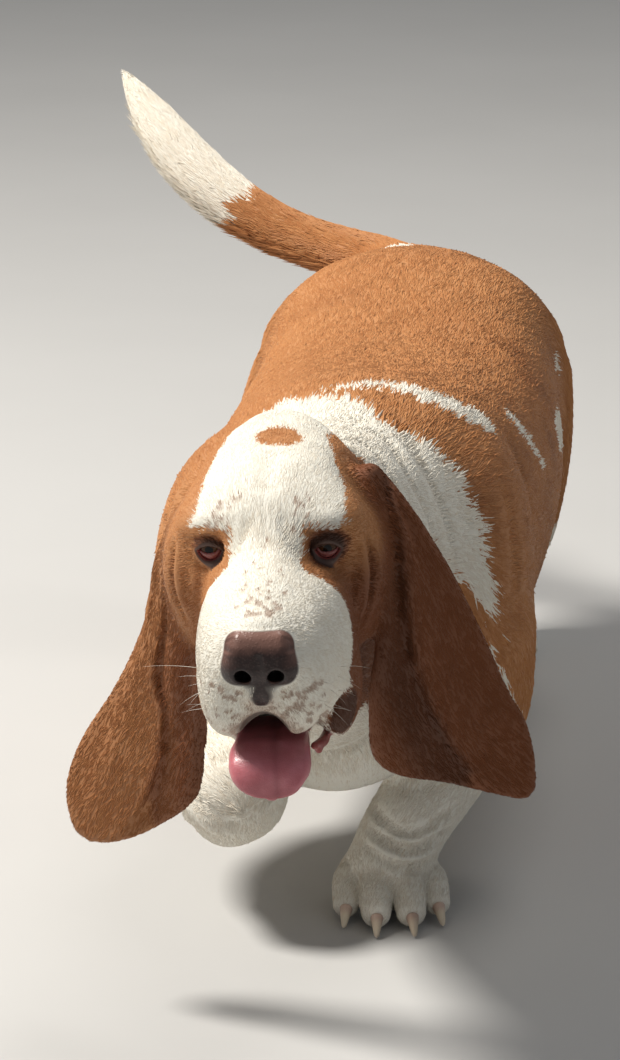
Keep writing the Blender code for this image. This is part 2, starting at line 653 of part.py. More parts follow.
# ears
pieces["ear_R"] = part_off(body, "ear_R", [(-67, 375), (-67, 292), (-60, 264), (-41, 240), (-41, 90), (-260, 90), (-260, 375)],
                           "XZ", -488, -396)
pieces["ear_L"] = part_off(body, "ear_L", [(82, 385), (82, 302), (73, 267), (55, 240), (55, 110), (260, 110), (260, 385)],
                           "XZ", -488, -396)
# head, with its nose, and neck
pieces["head"] = part_off(body, "head", [(-372, 430), (-438, 190), (-720, 190), (-720, 430)], "YZ", -140, 160)
pieces["nose"] = part_off(pieces["head"], "nose", [(-99, 2), (-99, -50), (-104, -63), (-150, -63), (-150, 2)], "YZ", -30, 30,
                          turn=turn, at=HEAD_AT)
pieces["neck"] = part_off(body, "neck", [(-190, 400), (-313, 146), (-500, 146), (-500, 400)], "YZ", -160, 170)
# tail
pieces["tail"] = part_off(body, "tail", [(-77, 339), (-41, 407), (-200, 530), (-340, 530), (-340, 378), (-150, 354)], "XY", 284, 500)
# forelegs
pieces["foreleg_L"] = part_off(body, "foreleg_L", [(50, 84), (160, 170), (260, 170), (260, -20), (-10, -20), (-10, 84)],
                               "XZ", -335, -96)
pieces["forepaw_L"] = part_off(pieces["foreleg_L"], "forepaw_L", [(-60, -20), (160, -20), (160, 43), (-60, 43)], "XZ", -340, -100)
pieces["foreleg_R"] = part_off(body, "foreleg_R", [(-165, 201), (-52, 115), (-30, 94), (-22, 85), (-4, 82), (-4, 10), (-230, 10), (-230, 201)],
                               "XZ", -350, -196)
pieces["forepaw_R"] = part_off(pieces["foreleg_R"], "forepaw_R", [(-350, 82), (-200, 76), (-150, 76), (-150, 10), (-350, 10)],
                               "YZ", -140, 10)
# hind legs
pieces["hindpaw_R"] = part_off(body, "hindpaw_R", [(-170, -20), (-40, -20), (-40, 52), (-170, 52)], "XZ", 15, 160)
pieces["hindleg_R"] = part_off(body, "hindleg_R", [(-165, 190), (-45, 128), (-40, 40), (-230, 40), (-230, 190)], "XZ", 86, 226)
pieces["hindpaw_L"] = part_off(body, "hindpaw_L", [(5, -20), (125, -20), (125, 52), (5, 52)], "XZ", 236, 400)
pieces["hindleg_L"] = part_off(body, "hindleg_L", [(165, 204), (48, 143), (10, 120), (10, 40), (230, 40), (230, 204)], "XZ", 160, 400)
pieces["trunk"] = body

# eyes in their sockets
for side, centre in EYES.items():
    place = turn @ np.array(centre) + np.array(HEAD_AT)
    boolean(pieces["head"], link(ball("socket", place, EYE_R + GAP), cutters), "DIFFERENCE")
    pieces["eye_" + side] = link(ball("eye_" + side, place, EYE_R))

# tongue
points, quads = surface([tongue_form()], (-60, -680, 120), (100, -480, 320), 2.0, floor=False)
tongue = triangulated(solid("tongue", points, quads))
thin = tongue.modifiers.new("thin", "DECIMATE")
thin.ratio = 260.0 / len(tongue.data.polygons)
pieces["tongue"] = triangulated(settled(tongue))
hole = link(bpy.data.objects.new("hole", tongue.data.copy()), cutters)
for v in hole.data.vertices:
    v.co += v.normal * (0.78 * MM)
boolean(pieces["head"], hole, "DIFFERENCE")

# claws
for foot, stance in (("forepaw_L", LF_PAW), ("forepaw_R", RF_PAW), ("hindpaw_R", RH_PAW + (0.9,)), ("hindpaw_L", LH_PAW + (0.9,))):
    for i, (root, aim, size) in enumerate(claws(*stance)):
        name = "claw_%s%s_%d" % (foot.split("paw")[0], foot[-2:], i + 1)
        boolean(pieces[foot], link(claw("hole", root, aim, size, GAP), cutters), "DIFFERENCE")
        pieces[name] = claw(name, root, aim, size)

WHITE = ("neck", "forepaw", "foreleg", "hindpaw")
for name, obj in pieces.items():
    obj.name = name
    obj.data.name = name
    look = RED_COAT
    if name.startswith(WHITE):
        look = WHITE_COAT
    elif name.startswith("claw"):
        look = HORN
    elif name.startswith("eye"):
        look = BROWN_EYE
    look = {"head": WHITE_COAT, "nose": LIVER, "tongue": PINK}.get(name, look)
    obj.data.transform(Matrix.Translation((-CENTRE[0] * MM, -CENTRE[1] * MM, 0.0)) @ obj.matrix_world)
    obj.matrix_world = Matrix.Identity(4)
    obj.data.materials.clear()
    obj.data.materials.append(paint(name, *look))
    obj.data.shade_smooth()
    obj.data.set_sharp_from_angle(angle=math.radians(50))
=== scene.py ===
"""The basset hound's looks: one skin with its folds and lids, the coat in tufts, eyes, claws, tongue and whiskers."""
import math

import bmesh
import bpy
import numpy as np
import openvdb
from mathutils import Matrix, Vector


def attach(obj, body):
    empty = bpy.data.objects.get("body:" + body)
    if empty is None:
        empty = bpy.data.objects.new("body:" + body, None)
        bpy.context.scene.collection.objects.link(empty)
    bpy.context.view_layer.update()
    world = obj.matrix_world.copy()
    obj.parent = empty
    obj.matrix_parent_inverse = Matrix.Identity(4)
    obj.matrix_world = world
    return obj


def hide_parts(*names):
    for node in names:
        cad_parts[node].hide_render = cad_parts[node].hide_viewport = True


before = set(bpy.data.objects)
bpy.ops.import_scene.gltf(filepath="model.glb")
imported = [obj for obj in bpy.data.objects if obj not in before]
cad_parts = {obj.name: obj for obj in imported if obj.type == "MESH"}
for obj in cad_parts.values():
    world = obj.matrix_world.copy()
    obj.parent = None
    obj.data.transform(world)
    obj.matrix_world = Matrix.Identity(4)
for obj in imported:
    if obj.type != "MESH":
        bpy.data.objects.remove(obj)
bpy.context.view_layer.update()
rng = np.random.default_rng(7)

# ---------------------------------------------------------------------------
# The basset's form: named bones, muscles and folds of skin, in millimetres,
# blended into one closed surface.  The dog faces -Y, its left is +X, +Z is up.
# ---------------------------------------------------------------------------
MM = 0.001


def rot(rx=0.0, ry=0.0, rz=0.0):
    """Rotation matrix from degrees about X, then Y, then Z."""
    a, b, c = (math.radians(v) for v in (rx, ry, rz))
    mx = np.array([[1, 0, 0], [0, math.cos(a), -math.sin(a)], [0, math.sin(a), math.cos(a)]])
    my = np.array([[math.cos(b), 0, math.sin(b)], [0, 1, 0], [-math.sin(b), 0, math.cos(b)]])
    mz = np.array([[math.cos(c), -math.sin(c), 0], [math.sin(c), math.cos(c), 0], [0, 0, 1]])
    return (mz @ my @ mx).astype(np.float32)


def smooth_min(a, b, k):
    """The lesser of two distances, with their meeting rounded over k millimetres."""
    if k <= 0:
        return np.minimum(a, b)
    h = np.maximum(k - np.abs(a - b), 0.0) / k
    return np.minimum(a, b) - h * h * (k * 0.25)


def smooth_curve(keys, n=65):
    """A smooth line through key points (rows of numbers), as n evenly spaced rows."""
    keys = np.asarray(keys, float)
    chord = np.r_[0, np.cumsum(np.linalg.norm(np.diff(keys[:, :3], axis=0), axis=1) + 1e-6)]
    slope = np.gradient(keys, chord, axis=0)
    at = np.linspace(0, chord[-1], n)
    i = np.clip(np.searchsorted(chord, at, side="right") - 1, 0, len(keys) - 2)
    h = (chord[i + 1] - chord[i])[:, None]
    t = ((at - chord[i])[:, None]) / h
    t2, t3 = t * t, t * t * t
    return ((2 * t3 - 3 * t2 + 1) * keys[i] + (t3 - 2 * t2 + t) * h * slope[i]
            + (3 * t2 - 2 * t3) * keys[i + 1] + (t3 - t2) * h * slope[i + 1])


class Form:
    """One rounded mass: a box outside which it can't matter, a distance, and how softly it joins."""

    def __init__(self, low, high, distance, k=0.0, carve=False, tag=""):
        self.low, self.high = np.asarray(low, np.float32), np.asarray(high, np.float32)
        self.distance, self.k, self.carve, self.tag = distance, float(k), carve, tag


def egg(c, r, k=10, turn=(0, 0, 0), **more):
    c, r, m = np.asarray(c, np.float32), np.asarray(r, np.float32), rot(*turn)
    reach = np.abs(m) @ r

    def distance(p):
        q = (p - c) @ m
        k0 = np.sqrt(((q / r) ** 2).sum(1))
        k1 = np.sqrt(((q / (r * r)) ** 2).sum(1)) + 1e-9
        return k0 * (k0 - 1.0) / k1

    return Form(c - reach, c + reach, distance, k, **more)


def block(c, half, r, k=5, turn=(0, 0, 0), **more):
    """A box with well rounded edges."""
    c, half, m = np.asarray(c, np.float32), np.asarray(half, np.float32), rot(*turn)
    reach = np.abs(m) @ (half + r)

    def distance(p):
        q = np.abs((p - c) @ m) - half
        return np.linalg.norm(np.maximum(q, 0), axis=1) + np.minimum(q.max(1), 0) - r

    return Form(c - reach, c + reach, distance, k, **more)


def bone(a, b, ra, rb, k=10, **more):
    """A round cone: two balls and their common hull."""
    a, b = np.asarray(a, np.float32), np.asarray(b, np.float32)
    ba = b - a
    ll = float(ba @ ba)
    rr = ra - rb
    a2 = ll - rr * rr
    il = 1.0 / ll

    def distance(p):
        pa = p - a
        y = pa @ ba
        z = y - ll
        x2 = ((pa * ll - np.outer(y, ba)) ** 2).sum(1)
        y2, z2 = y * y * ll, z * z * ll
        kk = np.sign(rr) * rr * rr * x2
        out = (np.sqrt(x2 * a2 * il) + y * rr) * il - ra
        top = np.sign(z) * a2 * z2 > kk
        low = np.sign(y) * a2 * y2 < kk
        out = np.where(low, np.sqrt(x2 + y2) * il - ra, out)
        return np.where(top, np.sqrt(x2 + z2) * il - rb, out)

    r = max(ra, rb)
    return Form(np.minimum(a, b) - r, np.maximum(a, b) + r, distance, k, **more)


def limb(keys, k=10, n=9, flat=1.0, across=(1, 0, 0), **more):
    """Round cones along a smooth line; keys are x, y, z, radius. flat under 1 thins it along across."""
    row = smooth_curve(keys, n).astype(np.float32)
    u = np.asarray(across, np.float32)
    u = u / np.linalg.norm(u)
    mid = row[:, :3].mean(0)

    def squeeze(p):
        d = (p - mid) @ u
        return p + np.outer(d * (1.0 / flat - 1.0), u)

    thin = squeeze(row[:, :3]) if flat != 1.0 else row[:, :3]
    parts = [bone(thin[i], thin[i + 1], row[i, 3], row[i + 1, 3]) for i in range(n - 1)]

    def distance(p):
        q = squeeze(p).astype(np.float32) if flat != 1.0 else p
        d = parts[0].distance(q)
        for part in parts[1:]:
            d = np.minimum(d, part.distance(q))
        return d * (flat if flat < 1.0 else 1.0)

    r = row[:, 3].max() + 2
    return Form(row[:, :3].min(0) - r, row[:, :3].max(0) + r, distance, k, **more)


def loft(keys, k=10, nt=2.2, nb=2.0, **more):
    """A barrel along Y. Keys: y, x of its middle, half width, top, bottom, height of its widest line."""
    keys = np.asarray(keys, float)
    ys = keys[:, 0]
    fine = np.linspace(ys[0], ys[-1], 129)
    slope = np.gradient(keys[:, 1:], ys, axis=0)
    i = np.clip(np.searchsorted(ys, fine, side="right") - 1, 0, len(ys) - 2)
    h = (ys[i + 1] - ys[i])[:, None]
    t = (fine - ys[i])[:, None] / h
    t2, t3 = t * t, t ** 3
    table = ((2 * t3 - 3 * t2 + 1) * keys[i, 1:] + (t3 - 2 * t2 + t) * h * slope[i]
             + (3 * t2 - 2 * t3) * keys[i + 1, 1:] + (t3 - t2) * h * slope[i + 1])

    def distance(p):
        xc, hw, top, bot, zw = (np.interp(p[:, 1], fine, table[:, j]) for j in range(5))
        up = p[:, 2] > zw
        hh = np.where(up, top - zw, zw - bot)
        n = np.where(up, nt, nb)
        a = np.abs(p[:, 0] - xc) / hw + 1e-6
        b = np.abs(p[:, 2] - zw) / hh + 1e-6
        q = (a ** n + b ** n) ** (1.0 / n)
        g = np.sqrt((a ** (n - 1) / hw) ** 2 + (b ** (n - 1) / hh) ** 2) / q ** (n - 1)
        d = np.maximum((q - 1.0) / g, -60.0)
        ends = np.maximum(ys[0] - p[:, 1], p[:, 1] - ys[-1])
        return np.maximum(d, ends).astype(np.float32)

    low = [(keys[:, 1] - keys[:, 2]).min(), ys[0], keys[:, 4].min()]
    high = [(keys[:, 1] + keys[:, 2]).max(), ys[-1], keys[:, 3].max()]
    return Form(low, high, distance, k, **more)


def leaf(keys, thick, k=6, n=41, fold=None, **more):
    """A sheet such as an ear. Keys: x, y, z, width to the far and the near side, the near side's direction
    (x, y, z), curl (bend across, per mm) and a thickness factor."""
    row = smooth_curve(keys, n)
    c, far, near, side, curl, tf = row[:, :3], row[:, 3], row[:, 4], row[:, 5:8], row[:, 8], row[:, 9]
    along = np.gradient(c, axis=0)
    along /= np.linalg.norm(along, axis=1)[:, None]
    side = side - along * (side * along).sum(1)[:, None]
    side /= np.linalg.norm(side, axis=1)[:, None]
    out = np.cross(along, side)
    table = np.column_stack([c, side, out, along, far, near, curl, thick * tf]).astype(np.float32)

    def distance(p):
        seg_t, seg_e = [], []
        for i in range(n - 1):
            d = (c[i + 1] - c[i]).astype(np.float32)
            t = ((p - c[i].astype(np.float32)) @ d) / float(d @ d)
            t = np.clip(t, 0 if i else -9.0, 1 if i < n - 2 else 9.0)
            seg_t.append(i + t)
            seg_e.append(np.sqrt(((p - (c[i].astype(np.float32) + np.outer(np.clip(t, 0, 1), d))) ** 2).sum(1)))
        seg_t, seg_e = np.array(seg_t, np.float32), np.array(seg_e, np.float32)
        weight = np.exp(-(seg_e - seg_e.min(0)) / 1.2)
        at = (weight * seg_t).sum(0) / weight.sum(0)
        i = np.clip(at, 0, n - 1.0001).astype(int)
        t = np.clip(at - i, 0, 1)[:, None]
        v = table[i] * (1 - t) + table[i + 1] * t
        o = p - v[:, :3]
        u = (o * v[:, 3:6]).sum(1)
        h = (o * v[:, 6:9]).sum(1)
        w = (o * v[:, 9:12]).sum(1)
        lo, hi, cu, th = v[:, 12], v[:, 13], v[:, 14], v[:, 15]
        hw, mid = (lo + hi) * 0.5, (hi - lo) * 0.5
        s = np.clip(at / (n - 1), 0, 1)
        um = u - mid
        h = h - cu * (um * um - hw * hw * 0.33)
        if fold is not None:
            h = h - fold(u, s, w)
        slope = 1.0 / np.sqrt(1.0 + (2 * cu * um) ** 2)
        over = (at > n - 1) | (at < 0)
        end = np.abs(w) * over
        a = np.maximum(np.abs(um) - (hw - th), 0)
        return (np.sqrt(a * a + end * end + (h * slope) ** 2) - th).astype(np.float32)

    r = max(far.max(), near.max()) + thick + 4
    return Form(c.min(0) - r, c.max(0) + r, distance, k, **more)


def placed(form, origin, m):
    """A form made in another frame, such as the head's own, moved to the dog's."""
    origin, m = np.asarray(origin, np.float32), np.asarray(m, np.float32)
    corners = np.array([[x, y, z] for x in (form.low[0], form.high[0]) for y in (form.low[1], form.high[1])
                        for z in (form.low[2], form.high[2])]) @ m.T + origin
    return Form(corners.min(0), corners.max(0), lambda p: form.distance((p - origin) @ m), form.k, form.carve, form.tag)


def mirrored(form):
    """The same form on both sides of its own frame's middle plane."""
    low, high = form.low.copy(), form.high.copy()
    reach = max(abs(low[0]), abs(high[0]))
    low[0], high[0] = -reach, reach

    def distance(p):
        q = p.copy()
        q[:, 0] = np.abs(q[:, 0])
        return form.distance(q)

    return Form(low, high, distance, form.k, form.carve, form.tag)


def blended(forms, points, far=40.0):
    """Distance from each point to the joined surface, in mm, under zero inside."""
    points = np.asarray(points, np.float32)
    out = np.full(len(points), far, np.float32)
    for f in forms:
        pad = f.k + 12.0
        near = np.flatnonzero(((points > f.low - pad) & (points < f.high + pad)).all(1))
        if not len(near):
            continue
        d = f.distance(points[near]).astype(np.float32)
        if f.carve:
            out[near] = -smooth_min(-out[near], d, f.k)
        else:
            out[near] = smooth_min(out[near], d, f.k)
    return out

# ---- named sizes, in millimetres ------------------------------------------
WITHERS = 358.0          # height at the shoulder blades
EYE_HEIGHT = 348.0       # where the head is carried
EYE_GAP = 66.4           # eye to eye
MUZZLE = 110.0           # eye to nose
HEAD_AT = (7.5, -498.0, EYE_HEIGHT)
HEAD_TURN = (3.0, -2.0, 5.6)   # nose down, tilt, turned to its left
EYE_R = 11.5
CENTRE = (-58.7, -80.2)   # middle of the dog's outline on the floor: the part's origin


def head_forms():
    """The head in its own frame: the origin between the eyes, the nose along -Y."""
    f = []
    f.append(egg((0, 62, 1), (54, 74, 46), 0))                         # brain case
    f.append(egg((0, 112, 18), (26, 34, 24), 26))                      # occiput
    f.append(egg((0, 22, 7), (42, 40, 33), 30))                       # forehead
    f.append(mirrored(egg((33, 6, 11), (24, 24, 16), 16)))             # brow
    f.append(mirrored(egg((46, 36, -22), (23, 44, 30), 22)))           # cheek bone
    f.append(mirrored(egg((42, 46, -52), (24, 44, 36), 24)))           # cheek
    f.append(limb([(0, 8, -7, 30), (0, -30, -14, 25), (0, -66, -21, 23), (0, -92, -28, 21)], 22, 9))   # bridge
    f.append(egg((24, -62, -48), (24, 48, 38), 22))                    # upper lips, fore: the left one hangs wider
    f.append(egg((-18, -62, -48), (22, 48, 38), 22))
    f.append(egg((32, -30, -58), (20, 46, 42), 20))                    # upper lips, rear
    f.append(egg((-23, -30, -58), (18, 46, 42), 20))
    f.append(egg((0, -88, -46), (33, 22, 30), 14))                     # front of the muzzle
    f.append(mirrored(egg((19, -92, -66), (15, 17, 22), 12)))          # lip beneath the nose
    f.append(egg((41, -46, -82), (12.5, 24, 27), 16))                  # flews
    f.append(egg((-28, -46, -82), (12, 25, 25), 16))
    f.append(egg((38, -18, -88), (12.5, 24, 24), 16))                  # corners of the mouth
    f.append(egg((-31, -20, -88), (12.5, 24, 24), 16))
    f.append(limb([(0, 40, -66, 40), (0, 0, -90, 30), (0, -46, -113, 20), (0, -66, -121, 15)], 16, 9))  # lower jaw
    f.append(limb([(0, 70, -60, 46), (0, 36, -92, 34), (0, 6, -112, 22)], 20, 7))                         # throat
    f += nose_forms()
    return f


def nose_forms():
    f = [block((0, -105.5, -32.0), (11.0, 5.5, 6.0), 9.0, 3.5, turn=(-8, 0, 0), tag="nose")]    # nose pad
    f.append(mirrored(egg((14.3, -105.8, -39.0), (9.4, 12.5, 10.8), 5)))     # wing of the nostril
    f.append(egg((0, -106.5, -52), (11.5, 10.5, 11), 6))                    # foot of the nose
    return f


def mouth_forms():
    f = []
    f.append(egg((0, -74, -96), (21, 50, 15), 8, carve=True, turn=(12, 0, 0)))     # open mouth
    f.append(egg((0, -108, -84), (13, 20, 12), 8, carve=True))                      # arch of the lip
    f.append(mirrored(egg((10.3, -121, -41.5), (4.5, 13, 4.7), 1.8, carve=True, turn=(0, 25, 14))))   # nostril
    f.append(limb([(0, -121, -30, 1.0), (0, -120.5, -50, 1.3), (0, -114, -62, 1.7), (0, -109, -76, 2.2)], 4, 9, carve=True))  # groove under the nose
    return f


def eye_forms():
    return [mirrored(egg((33.7, -12.0, 0.5), (12.5, 11.0, 9.0), 6, carve=True, turn=(0, 8, -18)))]


EYES = {"R": (-33.2, -4.0, 1.0), "L": (33.2, -4.0, 1.0)}


def paw(c, yaw, scale=1.0, pitch=0.0, roll=0.0):
    m = rot(pitch, roll, yaw)
    f = [egg((0, 7, 20), (34, 33, 20), 12)]
    for x, y, r, out in ((-29.5, -16, 10.8, -12), (-11, -32, 12.0, -3), (11.5, -32, 12.0, 3), (29.5, -16, 10.8, 12)):
        f.append(limb([(x * 0.76, y + 25, 23, r), (x, y + 4, 21.5, r + 1.0), (x * 1.07, y - 13, 11.5, r - 0.5)], 3.5, 5))
    f.append(egg((0, 4, 8), (27, 26, 11), 6))
    out = []
    for g in f:
        if scale != 1.0:
            d, s = g.distance, scale
            g = Form(g.low * s, g.high * s, (lambda d, s: lambda p: d(p / s) * s)(d, s), g.k * s)
        out.append(placed(g, c, m))
    return out


def claws(c, yaw, scale=1.0, pitch=0.0, roll=0.0):
    """Root, direction and size of the four claws of a paw."""
    m = rot(pitch, roll, yaw)
    out = []
    for x, y, r in ((-29.5, -16, 10.8), (-11, -32, 12.0), (11.5, -32, 12.0), (29.5, -16, 10.8)):
        at = np.array([x * 1.08, y - 13 - r + 4.0, 11.5]) * scale
        aim = np.array([x * 0.006, -0.86, -0.44])
        out.append((np.asarray(c) + m @ at, m @ (aim / np.linalg.norm(aim)), scale))
    return out


LF_PAW = ((45, -228, 0), 12)
RH_PAW = ((-100, 100, 0), -10)
LH_PAW = ((57, 318, 0), 8)
RF_PAW = ((-64, -255, 87), -4, 0.80, 156, 4)       # the lifted one: place, heading, size, pitch, roll


def body_forms():
    f = []
    f.append(loft([(-306, 8, 20, 218, 158, 188), (-284, 8, 56, 262, 109, 188), (-250, 9, 86, 306, 91, 194), (-205, 9, 106, 340, 90, 203),
                   (-150, 10, 119, 356, 91, 215), (-80, 10, 125, 350, 97, 222), (0, 10, 128, 342, 108, 228),
                   (80, 9, 127, 340, 122, 236), (150, 6, 121, 346, 138, 244), (215, 1, 114, 353, 158, 252),
                   (280, -3, 103, 353, 188, 260), (325, -5, 84, 342, 212, 266), (355, -6, 56, 322, 234, 272), (372, -6, 16, 292, 262, 276)], 0, 2.35, 2.1))
    # neck and dewlap
    f.append(limb([(9, -170, 262, 84), (8, -250, 278, 79), (6, -330, 300, 68), (4, -395, 326, 56)], 40, 25))
    f.append(limb([(8, -220, 186, 64), (9, -300, 200, 58), (12, -375, 226, 46), (14, -430, 246, 32)], 30, 19))
    # shoulders
    f.append(mirrored(egg((90, -168, 215), (42, 62, 88), 34, turn=(-12, 0, 0))))
    f.append(mirrored(egg((86, -158, 152), (38, 52, 52), 30)))
    # haunches
    f.append(mirrored(egg((62, 242, 245), (50, 84, 84), 34)))
    # left foreleg, planted
    f.append(limb([(92, -168, 175, 46), (98, -160, 126, 37), (78, -196, 86, 31), (55, -224, 54, 30.5), (45, -232, 30, 30)], 18, 17))
    f.append(egg((100, -140, 128), (24, 24, 26), 16))                                  # elbow
    f += paw(LF_PAW[0], LF_PAW[1])
    # right foreleg, lifted, the wrist bent
    f.append(limb([(-92, -168, 178, 46), (-104, -178, 138, 38), (-93, -236, 115, 34), (-57, -283, 106, 36)], 18, 17))
    f.append(egg((-106, -146, 146), (24, 24, 26), 16))
    f.append(limb([(-52, -290, 100, 36), (-57, -286, 86, 27), (-62, -268, 75, 20)], 12, 7))
    f += paw(*RF_PAW)
    # right hind leg, forward
    f.append(limb([(-64, 232, 258, 62), (-88, 172, 205, 52), (-98, 132, 164, 40), (-103, 150, 116, 29), (-100, 170, 84, 25), (-100, 144, 48, 24), (-100, 116, 24, 25)], 24, 25))
    f += paw(RH_PAW[0], RH_PAW[1], 0.9)
    # left hind leg, back
    f.append(limb([(62, 244, 255, 62), (78, 208, 200, 52), (82, 204, 152, 39), (76, 258, 122, 29), (68, 330, 104, 24), (61, 350, 80, 23), (58, 344, 46, 24), (57, 332, 24, 25)], 24, 25))
    f += paw(LH_PAW[0], LH_PAW[1], 0.9)
    # tail
    f.append(limb(TAIL, 18, 33))
    return f


TAIL = [(-6, 318, 312, 27), (-38, 354, 318, 25), (-80, 376, 324, 23), (-125, 390, 334, 22.5), (-170, 402, 353, 24.5),
        (-212, 418, 382, 25), (-250, 436, 420, 19), (-269, 445, 443, 11), (-278, 450, 455, 5)]

# the spine of each ear: x, y, z, width to the rear and to the front edge, direction of the front edge, curl, thickness
EAR_R = [(-58, -440, 338, 14, 20, 0.30, -0.92, 0.1, 0.000, 1.6), (-70, -438, 310, 12, 30, 0.50, -0.84, 0.1, -0.006, 1.3),
         (-77, -436, 275, 12, 48, 0.68, -0.70, 0.1, -0.006, 1.0), (-87, -432, 240, 14, 57, 0.80, -0.55, 0.1, -0.005, 1.0),
         (-96, -428, 208, 20, 62, 0.86, -0.45, 0.1, -0.003, 1.0), (-106, -425, 178, 28, 65, 0.90, -0.40, 0.1, -0.003, 1.0),
         (-116, -423, 150, 29, 48, 0.92, -0.35, 0.1, -0.003, 0.9), (-124, -422, 130, 22, 29, 0.92, -0.35, 0.1, -0.002, 0.9),
         (-129, -421, 119, 9, 11, 0.92, -0.35, 0.1, 0.0, 0.9)]
EAR_L = [(57, -430, 370, 14, 16, -0.30, -0.92, 0.0, 0.000, 1.7), (75, -434, 346, 18, 22, -0.40, -0.89, 0.0, 0.004, 1.4),
         (90, -435, 314, 24, 31, -0.60, -0.76, 0.0, 0.006, 1.1), (101, -432, 280, 28, 45, -0.74, -0.62, 0.0, 0.005, 1.0),
         (112, -428, 246, 30, 61, -0.82, -0.50, 0.0, 0.003, 1.0), (124, -425, 216, 30, 68, -0.86, -0.43, 0.0, 0.003, 1.0),
         (139, -420, 188, 28, 34, -0.86, -0.40, 0.0, 0.002, 0.9), (152, -417, 170, 18, 15, -0.86, -0.40, 0.0, 0.0, 0.9),
         (159, -415, 162, 8, 7, -0.86, -0.40, 0.0, 0.0, 0.9)]

TONGUE = [(1, -36, -106, 20, 20, 1, 0, 0, -0.004, 1.0), (2, -74, -101, 23, 23, 1, 0, 0, -0.006, 1.0), (2, -94, -100, 24.5, 24.5, 1, 0, 0, -0.008, 1.0),
          (2.5, -104, -105, 24.5, 24.5, 1, 0, 0, -0.009, 1.0), (3, -108, -112, 21.5, 21.5, 1, 0, 0, -0.006, 0.9), (3.5, -109.3, -117.5, 14, 14, 1, 0, 0, 0, 0.8),
          (3.5, -109.6, -121, 4, 4, 1, 0, 0, 0, 0.7)]


def all_forms():
    m = rot(*HEAD_TURN)
    f = body_forms()
    head = [placed(g, HEAD_AT, m) for g in head_forms()]
    head[0].k = 30
    f += head
    f.append(leaf(EAR_R, 5.0, 9))
    f.append(leaf(EAR_L, 5.0, 9))
    f += [placed(g, HEAD_AT, m) for g in mouth_forms() + eye_forms()]
    f.append(tongue_form(1.6, carve=True))
    return f


def tongue_form(extra=0.0, **more):
    return placed(leaf(TONGUE, 4.5 + extra, 2, **more), HEAD_AT, rot(*HEAD_TURN))

def surface(forms, low, high, step, chunk=400000, floor=True):
    """Quads on the joined surface of the forms, sampled every step millimetres."""
    low, high = np.asarray(low, float), np.asarray(high, float)
    n = np.ceil((high - low) / step).astype(int) + 1
    axes = [low[a] + step * np.arange(n[a]) for a in range(3)]
    grid = np.full(n, 40.0, np.float32)
    for f in forms:
        pad = f.k + 2.5 * step + 2
        i0 = np.maximum(((f.low - pad - low) / step).astype(int), 0)
        i1 = np.minimum(((f.high + pad - low) / step).astype(int) + 2, n)
        if (i1 <= i0).any():
            continue
        xs, ys, zs = (axes[a][i0[a]:i1[a]] for a in range(3))
        for xa in range(0, len(xs), max(1, chunk // (len(ys) * len(zs)))):
            xb = min(len(xs), xa + max(1, chunk // (len(ys) * len(zs))))
            p = np.stack(np.meshgrid(xs[xa:xb], ys, zs, indexing="ij"), -1).reshape(-1, 3).astype(np.float32)
            sub = grid[i0[0] + xa:i0[0] + xb, i1[1] - len(ys):i1[1], i1[2] - len(zs):i1[2]]
            d = f.distance(p).reshape(sub.shape).astype(np.float32)
            sub[...] = -smooth_min(-sub, d, f.k) if f.carve else smooth_min(sub, d, f.k)
    if floor:
        grid = np.maximum(grid, -axes[2].astype(np.float32)[None, None, :])
    tree = openvdb.FloatGrid(40.0)
    tree.copyFromArray(np.clip(grid, -40, 40), tolerance=0.0)
    points, quads = tree.convertToQuads(isovalue=0.0)
    return points * step + low, quads[:, ::-1]

# ---- the skin ---------------------------------------------------------------
def blocks_surface(field, low, high, step, block=8, reach=4.0):
    """Quads on a field's zero surface, sampled only in blocks near it."""
    low, high = np.asarray(low, float), np.asarray(high, float)
    size = step * block
    n = np.ceil((high - low) / size).astype(int)
    index = np.stack(np.meshgrid(*[np.arange(v) for v in n], indexing="ij"), -1).reshape(-1, 3)
    middle = low + (index + 0.5) * size - 0.5 * step
    d = field(middle, 60.0)
    grid = np.where(d < 0, -40.0, 40.0).astype(np.float32).reshape(n)
    grid = grid.repeat(block, 0).repeat(block, 1).repeat(block, 2)
    near = np.flatnonzero(np.abs(d) < size * 0.87 + reach)
    local = np.stack(np.meshgrid(*[np.arange(block)] * 3, indexing="ij"), -1).reshape(-1, 3)
    for i in range(0, len(near), 48):
        some = index[near[i:i + 48]]
        cells = (some[:, None, :] * block + local[None]).reshape(-1, 3)
        values = field(low + cells * step, 20.0)
        grid[cells[:, 0], cells[:, 1], cells[:, 2]] = values
    tree = openvdb.FloatGrid(40.0)
    tree.copyFromArray(np.clip(grid, -40, 40), tolerance=0.0)
    points, quads = tree.convertToQuads(isovalue=0.0)
    return points * step + low, quads[:, ::-1]


def joined(forms, points, pad):
    """Signed distance to the joined forms, in mm; pad is how far around a form's box it is looked at."""
    points = np.asarray(points, np.float32)
    out = np.full(len(points), 60.0, np.float32)
    low, high = points.min(0), points.max(0)
    for f in forms:
        far = f.k + pad
        if (f.low - far > high).any() or (f.high + far < low).any():
            continue
        inside = ((points > f.low - far) & (points < f.high + far)).all(1)
        near = np.flatnonzero(inside)
        if not len(near):
            continue
        d = f.distance(points[near]).astype(np.float32)
        out[near] = -smooth_min(-out[near], d, f.k) if f.carve else smooth_min(out[near], d, f.k)
    return out


